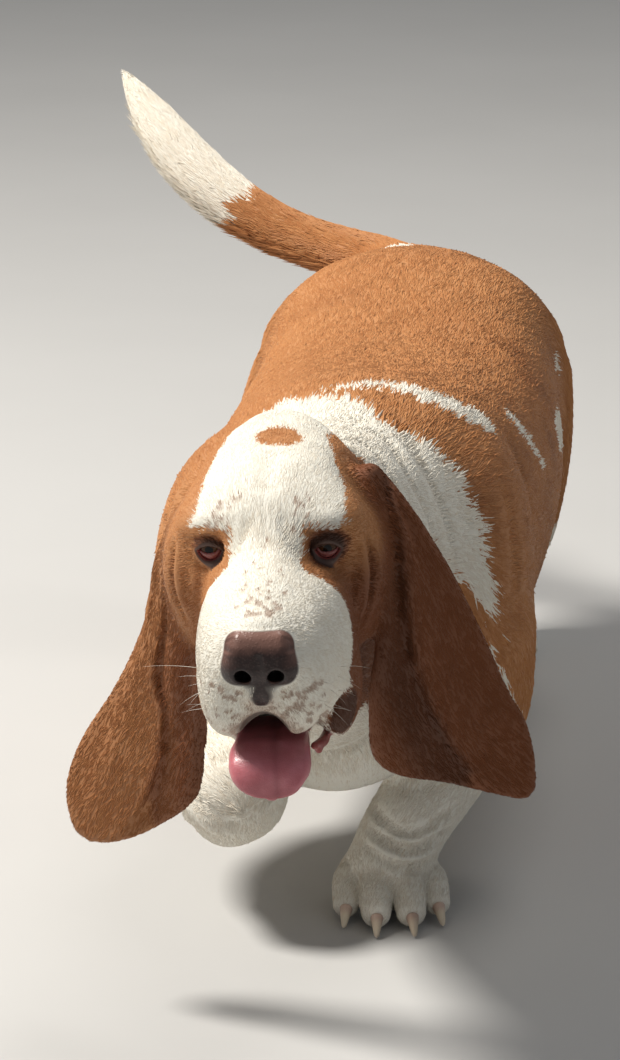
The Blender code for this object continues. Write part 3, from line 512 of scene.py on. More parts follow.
def line_distance(points, line):
    """Distance to a broken line, and how far along it (0 to 1)."""
    line = np.asarray(line, np.float32)
    best = np.full(len(points), 1e3, np.float32)
    along = np.zeros(len(points), np.float32)
    length = np.r_[0, np.cumsum(np.linalg.norm(np.diff(line, axis=0), axis=1))]
    for i in range(len(line) - 1):
        a, ab = line[i], line[i + 1] - line[i]
        t = np.clip(((points - a) @ ab) / float(ab @ ab), 0, 1)
        d = np.linalg.norm(points - (a + t[:, None] * ab), axis=1)
        near = d < best
        best = np.where(near, d, best)
        along = np.where(near, (length[i] + t * (length[i + 1] - length[i])) / length[-1], along)
    return best, along

# ---- what the skin adds to the form -----------------------------------------
HEAD = rot(*HEAD_TURN)
HEAD_O = np.array(HEAD_AT, np.float32)
GAZE = (0.22, -0.96, -0.13)          # where an eye looks, for the left one, in the head's frame


def to_head(p):
    return (p - HEAD_O) @ HEAD


def from_head(q):
    return np.asarray(q, np.float32) @ HEAD.T + HEAD_O


def eye_axes(side):
    g = np.array(GAZE) * (1 if side == "L" else -1, 1, 1)
    g /= np.linalg.norm(g)
    across = np.cross((0, 0, 1.0), g)
    across /= np.linalg.norm(across)          # towards the dog's own left, seen along the gaze
    up = np.cross(g, across)
    return g.astype(np.float32), across.astype(np.float32), up.astype(np.float32)


def lid_opening(side, a, b):
    """How far inside the opening between the lids a direction is, in degrees; a to the nose's side, b up."""
    out = -a                                   # grows towards the outer corner
    half = 34.0
    t = np.clip(out / half, -1.3, 1.3)
    upper = 17.0 * (1 - t * t) - 3.0 - 2.5 * t
    lower = -26.0 * (1 - np.abs(t) ** 2.4) - 3.0 - 2.5 * t
    return np.minimum(upper - b, b - lower)


def eye_angles(side, q):
    g, across, up = eye_axes(side)
    inward = -across if side == "L" else across
    r = np.linalg.norm(q, axis=1) + 1e-6
    a = np.degrees(np.arctan2(q @ inward, q @ g))
    b = np.degrees(np.arcsin(np.clip((q @ up) / r, -1, 1)))
    return r, a, b


def lids(side):
    centre = np.array(EYES[side], np.float32)

    def distance(p):
        r, a, b = eye_angles(side, p - centre)
        inside = lid_opening(side, a, b) * (math.pi / 180) * EYE_R
        droop = np.clip(-b / 30.0, 0, 1)                      # the lower lid hangs off the ball
        shell = np.abs(r - (EYE_R + 1.9 + 0.7 * droop)) - 1.6
        edge = inside * 0.9
        h = np.maximum(1.6 - np.abs(shell - edge), 0) / 1.6
        return np.maximum(shell, edge) + h * h * 0.4

    reach = EYE_R + 6
    return Form(centre - reach, centre + reach, distance, 3.0)


def haw(side):
    """The pink inner rim that shows between the ball and the drooping lower lid, and at the inner corner."""
    centre = np.array(EYES[side], np.float32)

    def distance(p):
        r, a, b = eye_angles(side, p - centre)
        low = (b + 11.0 - 0.010 * (a + 4) ** 2) * (math.pi / 180) * EYE_R
        corner = -(a - 15.0) * (math.pi / 180) * EYE_R
        return np.maximum(np.abs(r - (EYE_R + 0.3)) - 1.1, np.minimum(low, corner))

    reach = EYE_R + 4
    return Form(centre - reach, centre + reach, distance, 1.0)


def ear_fold(u, s, w):
    """Lengthwise folds that fan out from the ear's root."""
    spread = 0.35 + 0.9 * s
    rise = np.clip(s * 6, 0, 1) * np.clip((1.02 - s) * 4, 0, 1)
    return rise * ((2.2 + 1.5 * np.clip(1 - s / 0.5, 0, 1) - 1.0 * s) * np.sin(u / spread * 0.150 + 1.3 - 0.8 * s) + 0.45 * np.sin(u / spread * 0.31 + 2.0 * s))


def ear_layer(u, s, edge):
    """A step where an ear's upper layer lies over the lower one: the edge's place across, along the ear."""
    v = u - np.interp(s, edge[0], edge[1])
    along = np.clip(s * 8, 0, 1) * np.clip((1.0 - s) * 5, 0, 1)
    upper = 1.3 * np.exp(-(np.minimum(v, 0) / 8.0) ** 2)
    lower = 3.1 * np.exp(-(np.maximum(v, 0) / 20.0) ** 2) * (1 + 0.0 * v)
    t = np.clip((v + 1.6) / 3.2, 0, 1)
    t = t * t * (3 - 2 * t)
    return along * (lower * t - upper * (1 - t))


LAYER_L = ([0.05, 0.12, 0.25, 0.38, 0.52, 0.65, 0.75, 0.85, 1.0], [-6, 8, 17, 22, 25.5, 25, 23, 21, 17])
LAYER_R = ([0.10, 0.22, 0.32, 0.45, 0.52, 0.66, 0.79, 1.0], [15, 17, 15, 18, 29, 37, 36, 24])


# creases (positive, pressed in) and ridges (negative) on the head: a line, how deep and how wide, in mm
HEAD_LINES = [
    ([(-2, -8, 35), (-1.5, -14, 32), (-1, -24, 22), (0, -38, 11), (1, -52, 6)], 2.1, 2.4),
    ([(3.5, -10, 34), (4, -20, 25), (4, -32, 15), (5, -46, 8)], 1.4, 1.7),
    ([(-6.5, -14, 31), (-6.5, -24, 21), (-6, -36, 12)], 1.3, 1.8),
    ([(11, -16, 31), (11, -27, 20), (12, -38, 10), (13, -50, 3)], 1.1, 2.0),
    ([(-12, -16, 30), (-12, -28, 18), (-13, -40, 7)], 1.1, 2.0),
    ([(-30, -106, -19), (-14, -117, -20), (0, -118.5, -20), (14, -117, -20), (30, -106, -19)], 1.9, 5.5),      # the nose's rounded top edge
    ([(0, -14, 36), (0, 8, 41), (1, 36, 46)], 2.2, 7.0),                              # furrow of the forehead
    ([(49, -52, -40), (46, -66, -58), (42, -74, -76), (38, -74, -96)], 2.6, 3.0),     # behind the left upper lip
    ([(-40, -60, -44), (-37, -70, -62), (-33, -74, -84)], 1.8, 3.0),
    ([(30, -92, -60), (31, -90, -72), (28, -92, -84)], 1.2, 2.2), ([(22, -104, -66), (24, -100, -78), (22, -98, -88)], 1.1, 1.8),
    ([(36, -80, -62), (36, -80, -76), (33, -82, -90)], 1.0, 2.2), ([(-24, -100, -66), (-24, -98, -78), (-20, -98, -88)], 1.1, 1.8),
    ([(14, -108, -62), (17, -104, -72), (17, -102, -82)], 0.9, 1.6), ([(-14, -108, -62), (-16, -104, -74), (-14, -102, -84)], 0.9, 1.6),
]
MIRRORED_LINES = [
    ([(9, -20, 25), (13, -28, 15), (18, -33, 7), (22, -34, 1)], 2.0, 3.2),          # brow to the inner corner
    ([(12, -16, 30), (22, -20, 25), (34, -17, 22), (46, -6, 17)], -0.6, 5.0),       # brow
    ([(14, -25, 18), (24, -25, 18.5), (36, -22, 16), (46, -10, 11)], 0.9, 1.8),     # fold of the upper lid
    ([(23, -36, -6), (30, -37, -12), (40, -29, -16), (48, -13, -14)], 1.1, 3.2),    # under the lower lid
    ([(20, -42, -6), (28, -44, -16), (38, -38, -24), (49, -22, -26)], 0.8, 2.2),    # a second one
    ([(52, -10, -6), (54, -8, -24), (53, -12, -46), (50, -18, -70)], 4.4, 3.6),     # cheek
    ([(60, 8, 2), (62, 8, -20), (61, 8, -44), (58, 4, -76)], 4.8, 4.4),             # before the ear
    ([(56, 0, 4), (58, 0, -20), (57, 0, -44), (54, -6, -72)], -1.0, 3.0),
    ([(22, -104, -56), (32, -92, -60), (40, -70, -62), (46, -44, -58), (50, -22, -50)], 0.7, 3.0),   # along the lip
    ([(15, 70, 48), (28, 64, 44), (38, 52, 36), (44, 36, 28)], 1.4, 3.2),           # crown
    ([(10, -60, -1), (18, -64, -8), (26, -70, -18), (30, -82, -30)], 0.7, 3.0),     # side of the bridge
    ([(19, -110, -18), (19.5, -114, -21), (21, -116, -28)], 1.1, 4.5),              # the nose's rounded shoulders
]
BODY_LINES = [
    ([(-62, -398, 366), (-38, -394, 386), (0, -392, 394), (40, -398, 388), (62, -404, 368)], 2.6, 5.0),    # nape
    ([(-66, -366, 350), (-38, -362, 376), (4, -358, 384), (46, -366, 376), (70, -374, 348)], 2.8, 6.0),
    ([(-64, -330, 346), (-34, -326, 370), (8, -322, 378), (50, -332, 366), (76, -344, 336)], 2.4, 6.0),
    ([(30, -300, 362), (47, -308, 352), (58, -322, 343), (68, -330, 326), (76, -336, 300)], 2.6, 5.0),      # folds round the side of the neck
    ([(26, -262, 358), (47, -258, 348), (61, -283, 339), (72, -293, 325), (83, -283, 295), (86, -280, 262)], 3.2, 5.5),
    ([(28, -210, 356), (49, -217, 347), (66, -240, 332), (78, -251, 315), (87, -252, 298), (92, -250, 262)], 3.2, 6.0),
    ([(38, -240, 353), (54, -250, 344), (68, -266, 329), (80, -270, 300)], -1.2, 6.0),
    ([(-52, -292, 356), (-70, -286, 330), (-84, -290, 296), (-88, -300, 262)], 1.6, 7.0),
    ([(26, -232, 80), (37, -240, 72), (47, -251, 66), (57, -253, 63), (67, -250, 63), (77, -244, 67), (88, -228, 76)], 4.6, 3.8),   # wrist, left
    ([(28, -244, 63), (41, -252, 59), (51, -256, 54), (62, -255, 51), (72, -249, 51), (82, -239, 55), (90, -222, 62)], 4.8, 3.8),
    ([(26, -250, 52), (37, -256, 48), (47, -260, 43), (58, -258, 39), (70, -251, 38), (84, -236, 40)], 4.2, 3.6),
    ([(30, -236, 71), (44, -253, 63), (56, -255, 58), (66, -253, 57), (80, -242, 61), (90, -224, 70)], -2.2, 3.4),
    ([(26, -248, 58), (44, -257, 49), (57, -258, 45), (70, -252, 44), (86, -236, 48)], -2.2, 3.2),
    ([(30, -224, 96), (46, -238, 90), (64, -238, 88), (82, -226, 92)], 2.2, 5.0),
    ([(-98, -262, 122), (-82, -290, 126), (-58, -306, 128), (-34, -300, 130)], 2.6, 4.5),                    # wrist, right
    ([(-90, -290, 112), (-79, -312, 96), (-66, -320, 86), (-52, -318, 76)], -2.4, 4.0),
    ([(-82, -296, 118), (-68, -318, 104), (-54, -324, 94), (-40, -322, 84)], 2.2, 4.5),
    ([(-26, -300, 112), (-34, -318, 102), (-40, -322, 90), (-44, -318, 78)], 1.8, 5.0),
    ([(-120, 196, 128), (-96, 176, 122), (-78, 190, 124)], 1.4, 5.0), ([(88, 232, 132), (58, 238, 128), (40, 262, 132)], 1.4, 5.0),
    ([(44, -330, 150), (20, -334, 140), (-20, -332, 142), (-48, -322, 156)], 2.0, 8.0),                      # dewlap
    ([(50, -352, 190), (22, -372, 178), (-14, -370, 180), (-44, -350, 194)], 1.8, 7.0),
    ([(102, -440, 318), (112, -434, 282), (128, -427, 240), (142, -423, 205)], 1.4, 6.0),     # a slack fold of the left ear
    ([(-44, -470, 270), (-50, -463, 240), (-56, -456, 210), (-69, -449, 182)], 2.0, 4.6),                    # and of the right one
    ([(-79, -440, 300), (-92, -436, 262), (-105, -430, 228), (-117, -424, 196), (-122, -422, 176)], 1.3, 5.0),
    ([(124, 150, 270), (125, 158, 240), (121, 166, 210), (118, 174, 182), (119, 182, 160)], 4.2, 12.0),      # flank, before the thigh
    ([(115, 235, 300), (123, 262, 270), (114, 286, 240), (94, 300, 210)], 2.6, 10.0),
    ([(-114, 86, 270), (-117, 90, 240), (-115, 94, 210), (-117, 98, 185)], 4.2, 12.0),
    ([(-112, 200, 300), (-128, 228, 270), (-127, 244, 240), (-118, 246, 210), (-101, 236, 180)], 2.6, 10.0),
    ([(109, -96, 310), (125, -104, 280), (133, -112, 250), (136, -122, 220), (135, -132, 190)], 3.4, 11.0),  # behind the shoulder
    ([(-89, -96, 310), (-108, -104, 280), (-119, -112, 250), (-125, -122, 220), (-129, -132, 190)], 3.4, 11.0),
    ([(116, -170, 300), (126, -186, 270), (130, -196, 240), (130, -200, 210)], 1.6, 8.0),
    ([(-105, -170, 300), (-119, -186, 270), (-125, -196, 240), (-127, -200, 210)], 1.6, 8.0),
]


def lines_effect(points, lines, mirror=False):
    out = np.zeros(len(points), np.float32)
    q = points.copy()
    if mirror:
        q[:, 0] = np.abs(q[:, 0])
    for line, depth, width in lines:
        l = np.asarray(line, np.float32)
        near = np.flatnonzero(((q > l.min(0) - 3 * width) & (q < l.max(0) + 3 * width)).all(1))
        if not len(near):
            continue
        d, t = line_distance(q[near], l)
        ends = np.clip(np.minimum(t, 1 - t) * 5, 0.15, 1)
        out[near] += depth * ends * np.exp(-(d / width) ** 2)
    return out


def ramp(v, a, b):
    t = np.clip((v - a) / (b - a), 0, 1)
    return t * t * (3 - 2 * t)


def coat_depth(points):
    """How far the skin lies under the tips of the coat, in mm."""
    h = to_head(points)
    depth = 2.7 - 1.3 * ramp(points[:, 2], 170, 110)                                 # legs
    depth = depth + 0.9 * ramp(points[:, 0], -40, -80) * ramp(points[:, 1], 330, 350) * ramp(points[:, 2], 270, 300)   # tail
    front = ramp(points[:, 1], -385, -420)
    depth = depth * (1 - front) + 1.15 * front                                       # head and ears
    for centre, near, far in (((0, -110, -38), 25, 34), ((0, -100, -80), 14, 30), ((33.2, -6, 1), 13.5, 19), ((-33.2, -6, 1), 13.5, 19)):
        w = ramp(np.linalg.norm(h - np.asarray(centre, np.float32), axis=1), far, near)
        depth = depth * (1 - w) + 0.15 * w
    return depth.astype(np.float32)


def skin_forms():
    f = body_forms()
    head = [placed(g, HEAD_AT, HEAD) for g in head_forms()]
    head[0].k = 30
    f += head
    f.append(leaf(EAR_R, 5.0, 9, fold=lambda u, s, w: 0.6 * ear_fold(u, s, w) - ear_layer(u, s, LAYER_R)))
    f.append(leaf(EAR_L, 5.0, 9, fold=lambda u, s, w: 0.6 * ear_fold(-u, s, w) + ear_layer(u, s, LAYER_L)))
    f += [placed(g, HEAD_AT, HEAD) for g in mouth_forms() + eye_forms()]
    f += [placed(g, HEAD_AT, HEAD) for g in (lids("L"), lids("R"))]
    f.append(tongue_form(1.6, carve=True))
    f.append(placed(limb([(28, -82, -101, 3.4), (32, -66, -105, 4.4), (33, -52, -107, 4.0)], 3, 7), HEAD_O, HEAD))      # flesh at the lip's corner
    f.append(placed(egg((30, -76, -106), (3.4, 4.2, 3.4), 3), HEAD_O, HEAD))
    f.append(egg((-45, -324.5, 100), (2.6, 2.6, 2.6), 4))        # a small lump on the bent wrist
    return f


SKIN_FORMS = skin_forms()
TAIL_AT = len(body_forms()) - 1
EARS_AT = TAIL_AT + 1 + len(head_forms())
GROUPS = {"trunk": SKIN_FORMS[0:6], "fore_L": SKIN_FORMS[6:14], "fore_R": SKIN_FORMS[14:23], "hind_R": SKIN_FORMS[23:30],
          "hind_L": SKIN_FORMS[30:37], "tail": SKIN_FORMS[TAIL_AT:TAIL_AT + 1], "head": SKIN_FORMS[TAIL_AT + 1:EARS_AT],
          "ear_R": SKIN_FORMS[EARS_AT:EARS_AT + 1], "ear_L": SKIN_FORMS[EARS_AT + 1:EARS_AT + 2]}


def skin_field(points, pad=20.0):
    points = np.asarray(points, np.float32)
    d = joined(SKIN_FORMS, points, pad)
    near = np.flatnonzero(np.abs(d) < 14)
    p = points[near]
    d[near] += coat_depth(p) + lines_effect(p, BODY_LINES)
    fore = near[points[near, 1] < -370]
    h = to_head(points[fore])
    d[fore] += lines_effect(h, HEAD_LINES) + lines_effect(h, MIRRORED_LINES, True)
    return np.maximum(d, -points[:, 2])

def mesh_object(name, points, polygons, sides):
    """A mesh from arrays: points in mm (the dog's frame) and polygons with a fixed number of sides."""
    mesh = bpy.data.meshes.new(name)
    points = np.asarray(points, np.float32) - np.array([CENTRE[0], CENTRE[1], 0.0], np.float32)
    polygons = np.asarray(polygons, np.int32)
    mesh.vertices.add(len(points))
    mesh.vertices.foreach_set("co", (points * MM).astype(np.float32).ravel())
    mesh.loops.add(polygons.size)
    mesh.loops.foreach_set("vertex_index", polygons.ravel())
    mesh.polygons.add(len(polygons))
    mesh.polygons.foreach_set("loop_start", np.arange(len(polygons), dtype=np.int32) * sides)
    mesh.polygons.foreach_set("use_smooth", np.ones(len(polygons), bool))
    mesh.update(calc_edges=True)
    obj = bpy.data.objects.new(name, mesh)
    bpy.context.scene.collection.objects.link(obj)
    return obj


def outward(points, polygons):
    p, f = np.asarray(points, float), np.asarray(polygons)
    a, b, c = p[f[:, 0]], p[f[:, 1]], p[f[:, 2]]
    v = (a * np.cross(b, c)).sum()
    if f.shape[1] == 4:
        v += (p[f[:, 0]] * np.cross(p[f[:, 2]], p[f[:, 3]])).sum()
    return f if v > 0 else f[:, ::-1]


def refined(points, quads, masks):
    """Splits the quads under each mask (a function of their middles) into four; neighbours become triangles."""
    mesh = bpy.data.meshes.new("refine")
    mesh.from_pydata(points.tolist(), [], quads.tolist())
    bm = bmesh.new()
    bm.from_mesh(mesh)
    bpy.data.meshes.remove(mesh)
    for mask in masks:
        middles = np.array([f.calc_center_median() for f in bm.faces], np.float32)
        chosen = mask(middles)
        faces = [f for f, c in zip(bm.faces, chosen) if c]
        edges = list({e for f in faces for e in f.edges})
        bmesh.ops.subdivide_edges(bm, edges=edges, cuts=1, use_grid_fill=True)
    bmesh.ops.triangulate(bm, faces=[f for f in bm.faces if len(f.verts) > 3])
    p = np.array([v.co for v in bm.verts], np.float32)
    f = np.array([[v.index for v in face.verts] for face in bm.faces], np.int32)
    bm.free()
    return p, f


def vertex_normals(points, triangles):
    n = np.zeros_like(points)
    a, b, c = (points[triangles[:, i]] for i in range(3))
    fn = np.cross(b - a, c - a)
    for i in range(3):
        for k in range(3):
            n[:, k] += np.bincount(triangles[:, i], fn[:, k], minlength=len(points)).astype(np.float32)
    return n / (np.linalg.norm(n, axis=1)[:, None] + 1e-9)


def settle(points, triangles, which, times=3, limit=1.2):
    """Moves the vertices in which onto the skin's field, along their normals."""
    for _ in range(times):
        n = vertex_normals(points, triangles)[which]
        d = skin_field(points[which])
        points[which] -= n * np.clip(d, -limit, limit)[:, None]
    return points


def fine_areas(p):
    h = to_head(p)
    face = (h[:, 1] < 34) & (h[:, 2] > -135) & (np.abs(h[:, 0]) < 62)
    foot = (p[:, 2] < 62) & (p[:, 1] < -180)
    return face | foot


def finest_areas(p):
    h = to_head(p)
    eyes = np.linalg.norm(np.abs(h) * (1, 0, 0) + h * (0, 1, 1) - (34.5, -12, 0), axis=1) < 21
    nose = np.linalg.norm(h - (0, -108, -40), axis=1) < 30
    return eyes | nose


STEP = 2.8
points, quads = blocks_surface(skin_field, (-330, -680, -12), (230, 480, 500), STEP)
quads = outward(points, quads)
points, triangles = refined(points.astype(np.float32), quads, (fine_areas, finest_areas))
triangles = outward(points, triangles)
points = settle(points, triangles, np.flatnonzero(fine_areas(points)))

# ---- markings, painted shade and the lie of the coat ------------------------
def group_distance(forms, p, far=90.0):
    out = np.full(len(p), far, np.float32)
    for f in forms:
        if f.carve:
            continue
        near = np.flatnonzero(((p > f.low - 40) & (p < f.high + 40)).all(1))
        if len(near):
            out[near] = np.minimum(out[near], f.distance(p[near]))
    return out


def group_weights(p, soft=7.0):
    names = list(GROUPS)
    d = np.stack([group_distance(GROUPS[n], p) for n in names])
    d -= d.min(0)
    w = np.exp(-d / soft)
    return dict(zip(names, w / w.sum(0)))


def along_line(p, line):
    """Direction of the nearest stretch of a line."""
    line = np.asarray(line, np.float32)[:, :3]
    best = np.full(len(p), 1e9, np.float32)
    out = np.zeros((len(p), 3), np.float32)
    for i in range(len(line) - 1):
        a, ab = line[i], line[i + 1] - line[i]
        t = np.clip(((p - a) @ ab) / float(ab @ ab), 0, 1)
        d = np.linalg.norm(p - (a + t[:, None] * ab), axis=1)
        near = d < best
        best = np.where(near, d, best)
        out[near] = ab / np.linalg.norm(ab)
    return out


def unit(v):
    return v / (np.linalg.norm(v, axis=1)[:, None] + 1e-9)


def lie_of_coat(p, n, w):
    """Which way the hair lies at each point of the skin."""
    flow = np.zeros_like(p)
    side = np.abs(n[:, 0])
    back = np.stack([0.05 * n[:, 0], np.ones(len(p)), -0.30 * side], 1)
    chest = np.stack([0.1 * n[:, 0], np.full(len(p), 0.25), -np.ones(len(p))], 1)
    front = ramp(-n[:, 1], 0.35, 0.8)[:, None]
    rear = ramp(n[:, 1], 0.45, 0.85)[:, None] * ramp(p[:, 1], 250, 320)[:, None]
    body = back * (1 - front) * (1 - rear) + chest * front + np.array([0, 0.1, -1.0]) * rear
    flow += unit(body) * w["trunk"][:, None]
    legs = {"fore_L": [(92, -168, 175), (98, -160, 126), (78, -196, 86), (55, -224, 54), (45, -236, 30), (38, -275, 10)],
            "fore_R": [(-92, -168, 178), (-104, -178, 138), (-97, -236, 113), (-66, -296, 105), (-65, -288, 86), (-64, -262, 74), (-64, -210, 62)],
            "hind_R": [(-64, 232, 258), (-88, 172, 205), (-98, 132, 164), (-103, 150, 116), (-100, 170, 84), (-100, 144, 48), (-100, 110, 26), (-108, 60, 10)],
            "hind_L": [(62, 244, 255), (78, 208, 200), (82, 204, 152), (76, 258, 122), (68, 330, 104), (61, 350, 80), (58, 344, 46), (57, 325, 26), (63, 275, 10)]}
    for name, line in legs.items():
        flow += along_line(p, line) * w[name][:, None]
    flow += along_line(p, TAIL) * w["tail"][:, None]
    flow += (unit(along_line(p, EAR_R)) + 0.25 * np.array([-0.5, 0.3, 0])) * w["ear_R"][:, None]
    flow += (unit(along_line(p, EAR_L)) + 0.25 * np.array([0.5, 0.3, 0])) * w["ear_L"][:, None]
    h = to_head(p)
    away = unit(h - np.array([0, -118, -18])) + np.array([0, 0, -0.30]) * ramp(np.abs(h[:, 0]), 22, 48)[:, None]
    flow += unit(away) @ HEAD.T * w["head"][:, None]
    flow -= n * (flow * n).sum(1)[:, None]
    return unit(flow).astype(np.float32)


def waves(p, size, seed, octaves=3):
    """Smooth noise between about -1 and 1 from a few turned sine waves."""
    r = np.random.default_rng(seed)
    out = np.zeros(len(p))
    total = 0.0
    for o in range(octaves):
        for _ in range(5):
            k = r.normal(size=3)
            k *= 2 * math.pi / (size * 0.5 ** o) / np.linalg.norm(k)
            out += 0.6 ** o * np.sin(p @ k + r.uniform(0, 6.28)) / 2.2
        total += 0.6 ** o
    return (out / total).astype(np.float32)


def below(line, x):
    """The height of a broken line at x."""
    line = np.asarray(line, float)
    return np.interp(x, line[:, 0], line[:, 1]).astype(np.float32)


def patch(p, centre, size):
    """Distance inside an egg-shaped patch, in mm."""
    q = (p - np.asarray(centre, np.float32)) / np.asarray(size, np.float32)
    r = np.linalg.norm(q, axis=1) + 1e-6
    return (1 - r) * min(size)


def white_of(p, w):
    """How far, in mm, a point is inside the white; under zero it is red-brown."""
    x, y, z = p.T
    h = to_head(p)
    hx, hy, hz = h.T
    angle = np.degrees(np.arctan2(x - 8, z - 230))
    # collar: its rear edge round the neck, and the brown below it on each side
    rear = below([(-180, -120), (-120, -190), (-95, -222), (-60, -224), (-21, -188), (0, -197), (17, -229), (32, -221), (54, -222), (75, -224), (101, -221), (130, -200), (180, -120)], angle)
    collar = rear - y + 5.0 * waves(p, 34, 3) + 2.5 * waves(p, 9, 4)
    side = np.abs(x - 8)
    shoulder = np.minimum(below([(-420, 292), (-330, 300), (-290, 285), (-267, 267), (-244, 245), (-223, 204), (-200, 170)], y) - z,
                          z - below([(-420, 236), (-330, 196), (-250, 186), (-200, 170)], y))
    shoulder = np.minimum(shoulder, side - below([(-420, 44), (-330, 60), (-250, 84), (-200, 90)], y))
    shoulder = np.minimum(shoulder, y + 352)
    body = np.minimum(collar, -shoulder + 2.0 * waves(p, 12, 6))
    beside = np.minimum(np.minimum(side - 26, z - 204), -360 - y)               # the sides of the throat, behind the cheeks
    belly = below([(-260, 240), (-200, 150), (-120, 128), (60, 138), (160, 160), (240, 150), (330, 200)], y) - z + 6 * waves(p, 50, 7) + 2 * waves(p, 11, 8)
    body = np.minimum(np.maximum(body, belly), -beside + 2.0 * waves(p, 12, 5))
    stripe = [(-8, -186, 358), (23, -169, 360), (42, -163, 357), (65, -158, 348), (91, -140, 332), (96, -128, 326)]
    d, t = line_distance(p, stripe)
    body = np.maximum(body, (4.0 + 8.0 * ramp(t, 0.0, 0.8)) - d + 1.6 * waves(p, 10, 9))
    d, t = line_distance(p, [(111, -61, 310), (123, -53, 291), (129, -49, 278), (132, -40, 268)])
    body = np.maximum(body, 8.5 - 4.5 * t - d + 1.6 * waves(p, 10, 10))
    for centre, size in (((-25, 325, 346), (36, 28, 22)), ((121, 221, 282), (20, 36, 18)), ((134, 76, 264), (15, 34, 14)),
                         ((-126, 150, 262), (16, 38, 20)), ((-118, 236, 240), (16, 22, 14)), ((-128, -20, 282), (14, 34, 12))):
        body = np.maximum(body, patch(p, centre, size) + 2.2 * waves(p, 12, 11))
    white = np.clip(body, -25, 25) * w["trunk"]
    # legs
    fore = np.maximum(182 - (y + 223) * 1.25 - z, 60 - z) + 3 * waves(p, 16, 12)
    white = white + np.clip(fore, -25, 25) * w["fore_L"] + np.clip(below([(-230, 190), (-150, 150)], y) - z + 3 * waves(p, 16, 12), -25, 25) * w["fore_R"]
    hind = 128 - z + 5 * waves(p, 24, 13)
    white = white + np.clip(np.maximum(hind, belly), -25, 25) * (w["hind_L"] + w["hind_R"])
    # tail: white to a ragged border, further along its upper edge
    tail = -168 + 14 * ramp(z - below([(-280, 455), (-212, 383), (-170, 354), (-125, 335), (-60, 322)], x), 4, 16) - x + 7 * waves(p, 22, 14) + 3 * waves(p, 8, 15)
    white = white + np.clip(tail, -25, 25) * w["tail"]
    # head: a blaze from the crown over the whole muzzle, brown cheeks, and brown round the eyes
    left = hx > 0
    half = np.where(left, below([(-60, 60), (-20, 46), (0, 46.5), (31, 45), (60, 38), (80, 32), (140, 30)], hy), below([(-60, 60), (-14, 47), (-3, 42), (20, 40.5), (99, 31), (140, 34)], hy))
    blaze = half - np.abs(hx)
    start = np.where(left, below([(-120, -50), (-97, -58), (-74, -68), (-57, -70), (-44, -56), (-24, -42), (-10, -43), (2, -44), (20, -60)], hz),
                     below([(-120, -42), (-97, -48), (-57, -58), (-44, -50), (-24, -40), (-10, -38), (2, -38), (20, -60)], hz))
    muzzle = start - hy
    bridge = np.minimum(21.5 - np.abs(hx), hz + 14)
    crown = np.minimum(blaze, hz - below([(-40, 6), (-22, 14), (0, 13), (31, 12), (60, 8), (100, -10)], hy))
    face = np.maximum(np.maximum(crown, muzzle), bridge)
    chin = -(hz + 96) + 0 * hz
    face = np.maximum(face, np.minimum(chin, 40 - np.abs(hx)))
    ring = np.minimum(np.where(left, 13.5, 10.0) + 2.0 * np.sin(hy * 0.5) - np.linalg.norm((np.abs(h) * (1, 0, 0) + h * (0, 1, 1) - (35.5, -14, 1.5)) * (1, 0.75, 1.25), axis=1), 3.0)
    low = patch(np.abs(h) * (1, 0, 0) + h * (0, 1, 1), (38, -26, -14), (15, 17, 13))
    face = np.minimum(face, -np.maximum(ring, np.where(left, low, low - 4)))
    face = np.minimum(face, -patch(h, (3.5, 57, 48), (15, 20, 20)))
    face = np.minimum(face, -patch(h, (44, -64, -84), (12, 13, 21)))
    face = face + 1.3 * waves(p, 9, 16) + 0.7 * waves(p, 4, 17)
    white = white + np.clip(face, -25, 25) * w["head"] - 25 * (w["ear_R"] + w["ear_L"])
    return white.astype(np.float32)


LAYER_LINES = ([(72, -428, 366), (79, -444, 348), (83, -453, 320), (87, -453, 286), (91, -450, 254), (100, -445, 226), (111, -440, 202), (124, -433, 180)],
               [(-67, -458, 292), (-74, -453, 265), (-77, -448, 235), (-70, -450, 212), (-73, -446, 184), (-82, -442, 152)])


def crease_of(p):
    """Distance from the edge where each ear's upper layer lies over the lower one, in mm."""
    return np.minimum(line_distance(p, LAYER_LINES[0])[0], line_distance(p, LAYER_LINES[1])[0])


def shade_under_upper_layer(p, line, toward):
    """1 on the ear's lower layer, just beyond the edge of the upper one, fading away from it: where the upper layer's
    painted shade falls.
    """
    line = np.asarray(line, np.float32)
    best = np.full(len(p), 1e9, np.float32)
    side = np.zeros(len(p), np.float32)
    for i in range(len(line) - 1):
        a, ab = line[i], line[i + 1] - line[i]
        t = np.clip(((p - a) @ ab) / float(ab @ ab), 0, 1)
        v = p - (a + t[:, None] * ab)
        d = np.linalg.norm(v, axis=1)
        near = d < best
        best = np.where(near, d, best)
        side[near] = (v @ np.asarray(toward, np.float32))[near]
    return ramp(side, -1.0, 2.5) * ramp(best, 46, 14)


